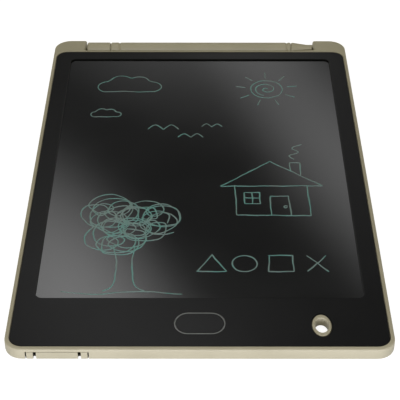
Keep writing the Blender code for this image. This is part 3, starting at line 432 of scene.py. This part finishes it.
def moulded_plastic(name, colors, grain, roughness, gloss=PLAIN_GLOSS, painted_shade_gaps=()):
    """Satin plastic: a fine sparked grain, and a faint cloudiness where the melt met the mould.

    Its last argument gives the corners of narrow gaps, whose walls get painted shade: a near black colour that
    stands in for the shadow inside them.
    """
    finish = Finish(name, gloss=gloss)
    place = finish.place()
    grains = finish.grain(place, grain, detail=3.0)
    clouds = finish.noise(place, CLOUD_SIZE, detail=3.0)
    tone = (clouds * (1 - GRAIN_SHARE) + grains * GRAIN_SHARE).ramp(*TONE_RANGE)
    skin = finish.mix(tone, *colors)
    # Painted shade: inside each gap's box the colour turns nearly black, standing in for the shadow in the narrow
    # gap
    for low, high in painted_shade_gaps:
        skin = finish.mix(finish.inside(low, high), skin, GAP_SHADE_COLOR)
    finish.color(skin)
    least = roughness - (GRAIN_ROUGHENS + CLOUD_ROUGHENS) / 2
    finish.rough(grains * GRAIN_ROUGHENS + clouds * CLOUD_ROUGHENS + least)
    return finish


def beige_shell():
    """The case's plastic. The drawer's side gaps and notches get painted shade a little way in: their walls are
    coloured nearly black, where shadow falls.
    """
    low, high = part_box("battery_drawer")
    painted_shade_gaps = []
    for start, end, depth in (SIDE_GAP_SHADE, NOTCH_GAP_SHADE):
        for left, right in ((low.x + start, low.x + end), (high.x - end, high.x - start)):
            near = (left, low.y + GAP_SHADE_START, GAP_SHADE_RISE)
            far = (right, low.y + depth, high.z - GAP_SHADE_DROP)
            painted_shade_gaps.append((near, far))
    return moulded_plastic("beige_shell", BEIGE, SHELL_GRAIN, roughness=0.5, painted_shade_gaps=painted_shade_gaps)


def beige_stylus():
    return moulded_plastic("beige_stylus", BEIGE, STYLUS_GRAIN, roughness=0.52)


def black_panel():
    return moulded_plastic("black_panel", PANEL_BLACK, PANEL_GRAIN, roughness=0.3, gloss=0.11)


def black_key():
    return moulded_plastic("black_key", KEY_BLACK, PANEL_GRAIN, roughness=0.3, gloss=0.14)


def grey_trim():
    return moulded_plastic("grey_trim", TRIM_GREY, TRIM_GRAIN, roughness=0.3)


def glossy_film():
    """The dark film: a hard coat over liquid crystal that scatters a little light unevenly."""
    finish = Finish("glossy_film")
    place = finish.place()
    haze = finish.noise(place, FILM_HAZE_SIZE, detail=4.0)
    specks = finish.noise(place, FILM_SPECK_SIZE)
    tone = (haze * (1 - FILM_SPECK_SHARE) + specks * FILM_SPECK_SHARE).ramp(*FILM_TONE_RANGE)
    finish.color(finish.mix(tone, *FILM_BLACK))
    finish.rough(haze * FILM_HAZE_ROUGHENS + specks * FILM_SPECK_ROUGHENS + FILM_ROUGHNESS)
    finish.grain(place, FILM_WAVE, detail=1.0)
    return finish


def teal_trace():
    """Liquid crystal that the pen has turned reflective: teal where it pressed hard, greyer elsewhere."""
    finish = Finish("teal_trace", roughness=0.3)
    place = finish.place()
    pressure = finish.noise(place, PRESSURE_SIZE).ramp(*PRESSURE_RANGE)
    specks = finish.noise(place, TRACE_SPECK_SIZE)
    tint = finish.mix(pressure, *TRACE_TEAL)
    finish.color(finish.mix(specks * TRACE_SPECK_STRENGTH, tint, TRACE_SHADOW))
    return finish


def nib_plastic():
    return moulded_plastic("nib_plastic", NIB_GREY, NIB_GRAIN, roughness=0.35)


# Finishes of the inside


def shaded(color, share):
    return tuple(share * part for part in color)


def brushed_metal(name, color):
    """Rolled metal with fine lines drawn out along its length."""
    finish = Finish(name, metallic=1.0)
    place = finish.stretched(finish.place(), BRUSH_STRETCH)
    lines = finish.grain(place, BRUSH_LINE, detail=4.0)
    finish.color(finish.mix(lines, shaded(color, BRUSH_SHADE), color))
    finish.rough(lines.between(*BRUSHED_ROUGHNESS))
    return finish


def turned_metal(name, color):
    """Metal with rings about the middle of the node of that name, as a lathe or a press leaves them."""
    low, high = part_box(name)
    finish = Finish(name, metallic=1.0)
    x, y, _ = finish.along(finish.place())
    across = x - (low.x + high.x) / 2
    deep = y - (low.y + high.y) / 2
    radius = (across * across + deep * deep).root()
    rings = (radius * RING_RATE).sine() * 0.5 + 0.5
    finish.color(finish.mix(rings, shaded(color, RING_SHADE), color))
    finish.rough(rings.between(*TURNED_ROUGHNESS))
    finish.relief(rings, RING_DEPTH)
    return finish


def fibre_board():
    finish = Finish("fibre_board", roughness=0.9)
    place = finish.place()
    fibres = finish.grain(finish.stretched(place, FIBRE_STRETCH), BOARD_FIBRE, detail=5.0)
    flecks = finish.noise(place, BOARD_FLECK_SIZE) > FLECK_LEVEL
    tone = finish.mix(fibres, *BOARD_GREY)
    finish.color(finish.mix(flecks * FLECK_STRENGTH, tone, BOARD_FLECK))
    return finish


def black_sheet():
    finish = Finish("black_sheet", roughness=0.7)
    weave = finish.grain(finish.place(), SHEET_WEAVE)
    finish.color(finish.mix(weave, *SHEET_BLACK))
    return finish


def adhesive_tape():
    finish = Finish("adhesive_tape", roughness=0.45)
    place = finish.stretched(finish.place(), TISSUE_STRETCH)
    tissue = finish.grain(place, TAPE_TISSUE, detail=4.0)
    finish.color(finish.mix(tissue, *TAPE_BLACK))
    return finish


def printed_circuit():
    """Green solder mask over copper tracks that run both ways, with a tinned pad here and there."""
    finish = Finish("printed_circuit", roughness=0.35)
    place = finish.place()
    x, y, _ = finish.along(place)
    turned = finish.noise(place, TRACK_FIELD_SIZE, detail=1.0) > TRACK_TURN_LEVEL
    lengthwise = (y * TRACK_RATE).sine() > TRACK_LEVEL
    crosswise = (x * TRACK_RATE).sine() > TRACK_LEVEL
    tracks = turned * lengthwise + (1 - turned) * crosswise
    pads = (finish.noise(place, PAD_SIZE, detail=0.0) > PAD_LEVEL) * tracks
    mask = finish.mix(tracks, *MASK_GREEN)
    finish.color(finish.mix(pads, mask, TINNED_PAD))
    finish.metal(pads)
    finish.relief(tracks, TRACK_DEPTH)
    return finish


def chip_with_legs(name, body_share):
    """Black moulding compound, with tinned legs past the body at its front and back."""
    low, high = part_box(name)
    finish = Finish(name)
    place = finish.place()
    spread = finish.along(place)[1] - (low.y + high.y) / 2
    legs = abs(spread) > (high.y - low.y) / 2 * body_share
    epoxy = finish.mix(finish.grain(place, EPOXY_GRAIN), *EPOXY_BLACK)
    finish.color(finish.mix(legs, epoxy, TINNED_LEG))
    finish.metal(legs)
    finish.rough(legs.between(*CHIP_ROUGHNESS))
    return finish


def ferrite():
    finish = Finish("ferrite", roughness=0.6)
    grains = finish.grain(finish.place(), FERRITE_GRAIN, detail=4.0)
    finish.color(finish.mix(grains, *FERRITE_GREY))
    return finish


def end_capped(name, body, longest):
    """A chip part: a ceramic body whose two ends are tinned. longest is the axis of its length."""
    finish = Finish(name)
    share = finish.along(finish.place("Generated"))[longest]
    ends = abs(share - 0.5) > CAPPED_BODY_SHARE / 2
    specks = finish.noise(finish.place(), CERAMIC_SPECK_SIZE)
    ceramic = finish.mix(specks, shaded(body, CERAMIC_SHADE), body)
    finish.color(finish.mix(ends, ceramic, TINNED_END))
    finish.metal(ends)
    finish.rough(ends.between(*CAPPED_ROUGHNESS))
    return finish


def flexible_circuit():
    """Amber film with copper lines along it."""
    finish = Finish("flexible_circuit", roughness=0.3)
    place = finish.place()
    x, _, _ = finish.along(place)
    lines = (x * FLEX_LINE_RATE).sine() > FLEX_LINE_LEVEL
    film = finish.mix(finish.noise(place, FLEX_STAIN_SIZE), *FLEX_AMBER)
    finish.color(finish.mix(lines * FLEX_LINE_STRENGTH, film, FLEX_COPPER))
    return finish


# Pieces of the frame


def body_of(node):
    for body, nodes in frame["record"]["behaviour"]["bodies"].items():
        if node in nodes:
            return body
    raise ValueError(node)


def paint(piece, finish):
    piece.data.materials.clear()
    piece.data.materials.append(finish.material)


def finer_copy(node, finish):
    """A piece that stands for a node, with its facets joined so that its round stretches shade smoothly."""
    mesh = frame["nodes"][node].data.copy()
    work = bmesh.new()
    work.from_mesh(mesh)
    bmesh.ops.remove_doubles(work, verts=work.verts, dist=WELD_DISTANCE)
    bmesh.ops.dissolve_limit(work, angle_limit=FLAT_ANGLE, verts=work.verts, edges=work.edges)
    work.to_mesh(mesh)
    work.free()
    if "custom_normal" in mesh.attributes:
        mesh.attributes.remove(mesh.attributes["custom_normal"])
    mesh.shade_smooth()
    mesh.set_sharp_from_angle(angle=SHARP_ANGLE)
    piece = bpy.data.objects.new(node + "_skin", mesh)
    bpy.context.scene.collection.objects.link(piece)
    paint(piece, finish)
    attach(piece, body_of(node))
    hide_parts(node)
    return piece


def dress_outside():
    shell = beige_shell()
    finer_copy("rear_shell", shell)
    finer_copy("battery_drawer", shell)
    finer_copy("front_panel", black_panel())
    finer_copy("writing_film", glossy_film())
    finer_copy("erase_button", black_key())
    finer_copy("erase_button_trim_ring", grey_trim())
    stylus = beige_stylus()
    finer_copy("stylus_tail_plug", stylus)
    finer_copy("stylus_barrel", stylus)
    finer_copy("stylus_nose_cone", stylus)
    finer_copy("stylus_nib", nib_plastic())


def dress_inside():
    nodes = frame["nodes"]
    paint(nodes["support_board"], fibre_board())
    paint(nodes["black_backing_sheet"], black_sheet())
    paint(nodes["panel_adhesive_frame"], adhesive_tape())
    paint(nodes["film_flex_tail"], flexible_circuit())
    paint(nodes["circuit_board"], printed_circuit())
    paint(nodes["driver_chip"], chip_with_legs("driver_chip", DRIVER_BODY_SHARE))
    paint(nodes["rectifier_diode"], chip_with_legs("rectifier_diode", DIODE_BODY_SHARE))
    paint(nodes["boost_inductor"], ferrite())
    add_dome(turned_metal("snap_dome", NICKEL))
    for name in ("coin_cell", "circuit_board_screw_left", "circuit_board_screw_right"):
        paint(nodes[name], turned_metal(name, STEEL))
    for name in ("negative_contact", "positive_contact"):
        paint(nodes[name], brushed_metal(name, NICKEL))
    for name in sorted(nodes):
        if name.startswith("chip_capacitor"):
            paint(nodes[name], end_capped(name, CERAMIC_TAN, longest_axis(name)))
        if name.startswith("chip_resistor"):
            paint(nodes[name], end_capped(name, CERAMIC_BLACK, longest_axis(name)))


def add_dome(finish):
    """The dome under the key, given a mesh of its own. How far the key's post comes down on it is worked out, but
    the dome does not buckle.
    """
    dome = finer_copy("snap_dome", finish)
    low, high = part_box("snap_dome")
    press = next(joint for joint in frame["joints"] if joint["name"] == "button_press")
    post_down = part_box("erase_button")[0].z - press["range_m"][1]
    room = post_down - DOME_SLACK - low.z
    room / (high.z - low.z)
    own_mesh(dome)


def longest_axis(node):
    low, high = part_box(node)
    reach = high - low
    return max(range(3), key=lambda axis: reach[axis])


# Pen strokes


def arc(centre, radius, start, end):
    """Points on a round stretch, with angles in degrees."""
    count = max(ARC_STEPS_LEAST, int(abs(end - start) / ARC_STEP_DEGREES))
    turns = [math.radians(start + (end - start) * i / count) for i in range(count + 1)]
    return [(centre[0] + radius * math.cos(t), centre[1] + radius * math.sin(t)) for t in turns]


def through(points):
    """A smooth curve through a few points, by the Catmull-Rom rule."""
    padded = [points[0], *points, points[-1]]
    smooth = []
    for a, b, c, d in zip(padded, padded[1:], padded[2:], padded[3:]):
        for i in range(CURVE_STEPS):
            t = i / CURVE_STEPS
            smooth.append(
                tuple(
                    0.5 * (2 * q + (r - p) * t + (2 * p - 5 * q + 4 * r - s) * t ** 2
                           + (3 * q - p - 3 * r + s) * t ** 3)
                    for p, q, r, s in zip(a, b, c, d)
                )
            )
    return [*smooth, points[-1]]


def evenly_spaced(points, step):
    """The same path with a point every step."""
    path = [Vector(p) for p in points]
    spaced = [path[0]]
    for a, b in zip(path, path[1:]):
        length = (b - a).length
        count = max(1, round(length / step))
        spaced += [a.lerp(b, (i + 1) / count) for i in range(count)]
    return spaced


def hand_drawn(path, chance):
    """A path with the slow wander of a hand."""
    phase = [chance.uniform(0, math.tau) for _ in range(4)]
    drawn = []
    run = 0.0
    for i, point in enumerate(path):
        run += (point - path[i - 1]).length if i else 0.0
        turn = math.tau * run / WOBBLE_LENGTH
        sway = Vector(
            (
                math.sin(turn / SLOW_SWAY[0] + phase[0]) + QUICK_SWAY_SHARE * math.sin(turn + phase[1]),
                math.sin(turn / SLOW_SWAY[1] + phase[2]) + QUICK_SWAY_SHARE * math.sin(turn + phase[3]),
            )
        )
        drawn.append(point + sway * WOBBLE / 2)
    return drawn


def add_stroke(work, points, chance, layer):
    """One pen stroke: a low ridge that swells and thins as the hand presses and lifts."""
    path = hand_drawn(evenly_spaced(points, STROKE_STEP), chance)
    phase = chance.uniform(0, math.tau)
    last = len(path) - 1
    rings = []
    for i, point in enumerate(path):
        ahead = path[min(i + 1, last)] - path[max(i - 1, 0)]
        side = Vector((-ahead.y, ahead.x)).normalized()
        press = 1 + PRESS_SHARE * math.sin(phase + i * STROKE_STEP / WOBBLE_LENGTH * PRESS_RATE)
        from_end = min(i, last - i) * STROKE_STEP
        taper = math.sqrt(min(1.0, (from_end + END_BLUNTNESS) / END_TAPER))
        half = STROKE_WIDTH / 2 * press * taper
        top = STROKE_HEIGHT + STROKE_RISE * (i / last) + layer * STROKE_HEIGHT / LAYERS_TO_A_HEIGHT
        profile = ((-1, 0), (-STROKE_SHOULDER_SHARE, top), (STROKE_SHOULDER_SHARE, top), (1, 0))
        rings.append(
            [
                work.verts.new((*(point + side * half * share), FILM_TOP + height))
                for share, height in profile
            ]
        )
    for ring, following in zip(rings, rings[1:]):
        for i in range(4):
            j = (i + 1) % 4
            work.faces.new((ring[i], ring[j], following[j], following[i]))
    work.faces.new(rings[0][::-1])
    work.faces.new(rings[-1])


def motif(name, middle_and_size, strokes, finish):
    """A drawing on the film: its strokes are given as shares of its size, about its middle."""
    middle, size = middle_and_size
    work = bmesh.new()
    chance = random.Random(name)
    for layer, points in enumerate(strokes):
        placed = [(middle[0] + x * size, middle[1] + y * size) for x, y in points]
        add_stroke(work, placed, chance, layer)
    bmesh.ops.recalc_face_normals(work, faces=work.faces)
    mesh = bpy.data.meshes.new(name)
    work.to_mesh(mesh)
    work.free()
    piece = bpy.data.objects.new(name, mesh)
    bpy.context.scene.collection.objects.link(piece)
    mesh.shade_smooth()
    paint(piece, finish)
    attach(piece, "tablet")


def scribble(centre, reach, loops, squash, chance):
    """One long stroke of uneven loops that wander about, as a hand fills in a leafy crown."""
    points = []
    for i in range(loops * LOOP_POINTS):
        loop = i / LOOP_POINTS
        turn = math.tau * loop
        drift = turn * LOOP_DRIFT_SHARE
        away = reach * (LOOP_AWAY_SHARE + LOOP_AWAY_SWAY_SHARE * math.sin(LOOP_AWAY_RATE * loop))
        size = reach * (LOOP_SIZE_SHARE + LOOP_SIZE_SWAY_SHARE * math.sin(LOOP_SIZE_RATE * loop))
        size *= chance.uniform(*LOOP_UNEVEN)
        x = centre[0] + away * math.cos(drift) + size * math.cos(turn)
        y = centre[1] + squash * (away * math.sin(drift) + size * math.sin(turn))
        points.append((x, y))
    return through(points)


def draw_tree(finish):
    trunk_left = through([(-0.09, -0.02), (-0.06, -0.2), (-0.07, -0.42), (-0.14, -0.5)])
    trunk_right = through([(0.06, -0.02), (0.05, -0.2), (0.07, -0.42), (0.15, -0.5)])
    ground = through([(-0.42, -0.5), (-0.2, -0.53), (0.1, -0.5), (0.4, -0.53)])
    crown = scribble((0.0, 0.24), reach=0.4, loops=30, squash=0.95, chance=random.Random("crown"))
    motif("drawn_tree", TREE, [trunk_left, trunk_right, ground, crown], finish)


def draw_house(finish):
    walls = [(-0.36, 0.06), (-0.35, -0.42), (0.36, -0.43), (0.35, 0.06)]
    roof = [(-0.5, 0.04), (0.0, 0.46), (0.5, 0.05), (-0.5, 0.04)]
    door = [(-0.02, -0.43), (-0.02, -0.12), (0.16, -0.12), (0.17, -0.43)]
    window = [(-0.27, -0.06), (-0.27, -0.24), (-0.12, -0.24), (-0.12, -0.06), (-0.27, -0.06)]
    bars = [[(-0.195, -0.06), (-0.195, -0.24)], [(-0.27, -0.15), (-0.12, -0.15)]]
    chimney = [(0.2, 0.29), (0.2, 0.44), (0.3, 0.44), (0.3, 0.21)]
    smoke = through([(0.25, 0.5), (0.2, 0.56), (0.3, 0.62), (0.24, 0.7), (0.34, 0.76)])
    knob = arc((0.12, -0.29), 0.015, 0, 360)
    strokes = [walls, roof, door, window, *bars, chimney, smoke, knob]
    motif("drawn_house", HOUSE, strokes, finish)


def draw_sun(finish):
    disc = arc((0, 0), 0.24, 80, 460)
    spiral = []
    for degrees in range(SPIRAL_START, SPIRAL_END, SPIRAL_STEP):
        turn = math.radians(degrees)
        away = SPIRAL_TURN_SHARE * degrees / 360
        spiral.append((away * math.cos(turn), away * math.sin(turn)))
    rays = []
    for i in range(RAYS):
        turn = math.tau * i / RAYS + RAY_LEAN
        rays.append([(share * math.cos(turn), share * math.sin(turn)) for share in RAY_SHARES])
    motif("drawn_sun", SUN, [disc, spiral, *rays], finish)


def draw_cloud(name, middle_and_size, finish):
    bumps = (
        arc((-0.3, 0.0), 0.14, 250, 95)
        + arc((-0.12, 0.13), 0.16, 150, 40)
        + arc((0.13, 0.12), 0.15, 130, 15)
        + arc((0.32, 0.0), 0.13, 85, -75)
    )
    base = through([(0.35, -0.125), (0.1, -0.13), (-0.1, -0.12), (-0.36, -0.13)])
    motif(name, middle_and_size, [bumps + base], finish)


def draw_birds(finish):
    strokes = []
    for x, y, size in ((-0.3, 0.1, 0.2), (0.05, -0.08, 0.16), (0.32, 0.16, 0.13)):
        wing = [(x - size, y), (x - size / 2, y + size / 2), (x, y)]
        other = [(x, y), (x + size / 2, y + size / 2), (x + size, y)]
        strokes.append(through(wing) + through(other))
    motif("drawn_birds", BIRDS, strokes, finish)


def draw_shapes(finish):
    """A row of plain shapes: triangle, ring, square and cross."""
    triangle = [(-0.5, -0.1), (-0.38, 0.11), (-0.27, -0.1), (-0.51, -0.1)]
    ring = arc((-0.12, 0.0), 0.1, 70, 440)
    square = [(0.08, 0.1), (0.07, -0.1), (0.27, -0.1), (0.27, 0.1), (0.07, 0.1)]
    cross = [[(0.38, -0.1), (0.54, 0.1)], [(0.38, 0.1), (0.55, -0.1)]]
    motif("drawn_shapes", SHAPES, [triangle, ring, square, *cross], finish)


def draw_on_film():
    finish = teal_trace()
    draw_tree(finish)
    draw_house(finish)
    draw_sun(finish)
    draw_cloud("drawn_cloud", CLOUD, finish)
    draw_cloud("drawn_small_cloud", SMALL_CLOUD, finish)
    draw_birds(finish)
    draw_shapes(finish)


# Studio


def add_camera():
    data = bpy.data.cameras.new("camera")
    data.sensor_width = SENSOR_MM
    data.lens = FOCAL_PIXELS / FRAME_PIXELS * SENSOR_MM
    data.clip_start = CAMERA_NEAR
    camera = bpy.data.objects.new("camera", data)
    bpy.context.scene.collection.objects.link(camera)
    camera.location = CAMERA_PLACE
    camera.rotation_euler = (math.pi / 2 - CAMERA_DOWN, CAMERA_ROLL, CAMERA_YAW)
    bpy.context.scene.camera = camera


def flat_piece(name, half_width, half_depth):
    mesh = bpy.data.meshes.new(name)
    corners = [(-half_width, -half_depth, 0), (half_width, -half_depth, 0)]
    corners += [(half_width, half_depth, 0), (-half_width, half_depth, 0)]
    mesh.from_pydata(corners, [], [(0, 1, 2, 3)])
    piece = bpy.data.objects.new(name, mesh)
    bpy.context.scene.collection.objects.link(piece)
    return piece


def pale_ground():
    """A pale surface that takes the object's shadow. Seen straight or in a mirror, it looks white."""
    material = bpy.data.materials.new("pale_ground")
    tree = Tree(material)
    tree.nodes.clear()
    rays = tree.node("LightPath")
    outputs = rays.socket.node.outputs
    seen = Amount(tree, outputs["Is Camera Ray"]) + Amount(tree, outputs["Is Glossy Ray"])
    seen = (seen + Amount(tree, outputs["Is Transmission Ray"])).clamped()
    plain = tree.node("BsdfDiffuse", {}, {"Color": colored(GROUND_PALE)})
    shadow = tree.node("BsdfDiffuse", {}, {"Color": colored(GROUND_SEEN)})
    white = tree.node("Emission", {}, {"Color": colored((1, 1, 1)), "Strength": GROUND_WHITE})
    lit = tree.node("AddShader", {}, {0: shadow, 1: white})
    mixed = tree.node("MixShader", {}, {0: seen, 1: plain, 2: lit})
    tree.node("OutputMaterial", {}, {"Surface": mixed})
    return material


def add_floor():
    """The floor, and a low round wall where it ends."""
    ground = pale_ground()
    floor = flat_piece("floor", FLOOR_HALF, FLOOR_HALF)
    floor.location = (0, 0, -FLOOR_DROP)
    floor.data.materials.append(ground)
    corners = []
    for i in range(BACKDROP_SIDES):
        turn = math.tau * i / BACKDROP_SIDES
        x, y = FLOOR_HALF * math.cos(turn), FLOOR_HALF * math.sin(turn)
        corners += [(x, y, -FLOOR_DROP), (x, y, BACKDROP_HEIGHT)]
    count = len(corners)
    sides = [(i, (i + 2) % count, (i + 3) % count, i + 1) for i in range(0, count, 2)]
    mesh = bpy.data.meshes.new("backdrop")
    mesh.from_pydata(corners, [], sides)
    backdrop = bpy.data.objects.new("backdrop", mesh)
    bpy.context.scene.collection.objects.link(backdrop)
    mesh.materials.append(ground)


def add_world():
    """A plain pale glow from overhead and a little from the left, dark in what the film mirrors."""
    world = bpy.data.worlds.new("studio")
    bpy.context.scene.world = world
    tree = Tree(world)
    tree.nodes.clear()
    ahead = (glanced(*FLAG_AIM) - Vector((*FLAG_AIM, FILM_TOP))).normalized()
    outward = tree.place("Generated")
    facing = tree.node("VectorMath", {"operation": "DOT_PRODUCT"}, {0: outward, 1: ahead}, output=1)
    flag = facing.ramp(math.cos(FLAG_OUTER), math.cos(FLAG_INNER))
    sky = tree.mix(flag, SKY_GLOW, FLAG_GLOW)
    right, _, up = tree.along(outward)
    level = up.between(SKY_LOW, SKY_HIGH) * (1 - right * SKY_LEAN)
    glow = tree.node("Background", {}, {"Color": sky, "Strength": level})
    tree.node("OutputWorld", {}, {"Surface": glow})


def add_lamp():
    data = bpy.data.lights.new("key", "AREA")
    data.shape = "RECTANGLE"
    data.size = LAMP_WIDTH
    data.size_y = LAMP_HEIGHT
    data.energy = LAMP_WATTS
    data.color = LAMP_COLOR
    lamp = bpy.data.objects.new("key", data)
    bpy.context.scene.collection.objects.link(lamp)
    lamp.visible_camera = False
    lamp.location = LAMP_PLACE
    lamp.rotation_mode = "QUATERNION"
    lamp.rotation_quaternion = (Vector(LAMP_AIM) - Vector(LAMP_PLACE)).to_track_quat("-Z", "Y")


def glanced(film_x, film_y):
    """Where the camera's look goes that glances off the film at a place on it."""
    point = Vector((film_x, film_y, FILM_TOP))
    ahead = (point - CAMERA_PLACE).normalized()
    ahead.z = -ahead.z
    return point + ahead * CARD_DISTANCE


def add_card(name, film_from, film_to, half_width, glow):
    """A soft card whose reflection lies on the film from one place to another, fading to its edges."""
    start = glanced(*film_from)
    end = glanced(*film_to)
    middle = (start + end) / 2
    half_length = (end - start).length / 2
    card = flat_piece(name, half_length, half_width)
    normal = (Vector((0, 0, FILM_TOP)) - middle).normalized()
    length = (end - start).normalized()
    width = normal.cross(length).normalized()
    card.matrix_world = matrix_of(length, width, length.cross(width), middle)
    material = bpy.data.materials.new(name)
    tree = Tree(material)
    tree.nodes.clear()
    x, y, _ = tree.along(tree.place())
    x = x / half_length
    y = y / half_width
    fade = (1 - (x * x + y * y)).clamped()
    light = tree.node("Emission", {}, {"Color": colored((1, 1, 1)), "Strength": fade * fade * glow})
    lit = tree.node("AddShader", {}, {0: tree.node("BsdfTransparent"), 1: light})
    tree.node("OutputMaterial", {}, {"Surface": lit})
    card.data.materials.append(material)
    card.visible_camera = False


def matrix_of(x_axis, y_axis, z_axis, place):
    turned = Matrix((x_axis, y_axis, z_axis)).transposed().to_4x4()
    turned.translation = place
    return turned


def add_lights():
    add_lamp()
    for name, (film_from, film_to, half_width, glow) in CARDS.items():
        add_card(name, film_from, film_to, half_width, glow)


def main():
    bpy.context.scene.view_settings.view_transform = "Standard"
    add_camera()
    add_world()
    add_floor()
    add_lights()
    dress_outside()
    dress_inside()
    draw_on_film()


main()
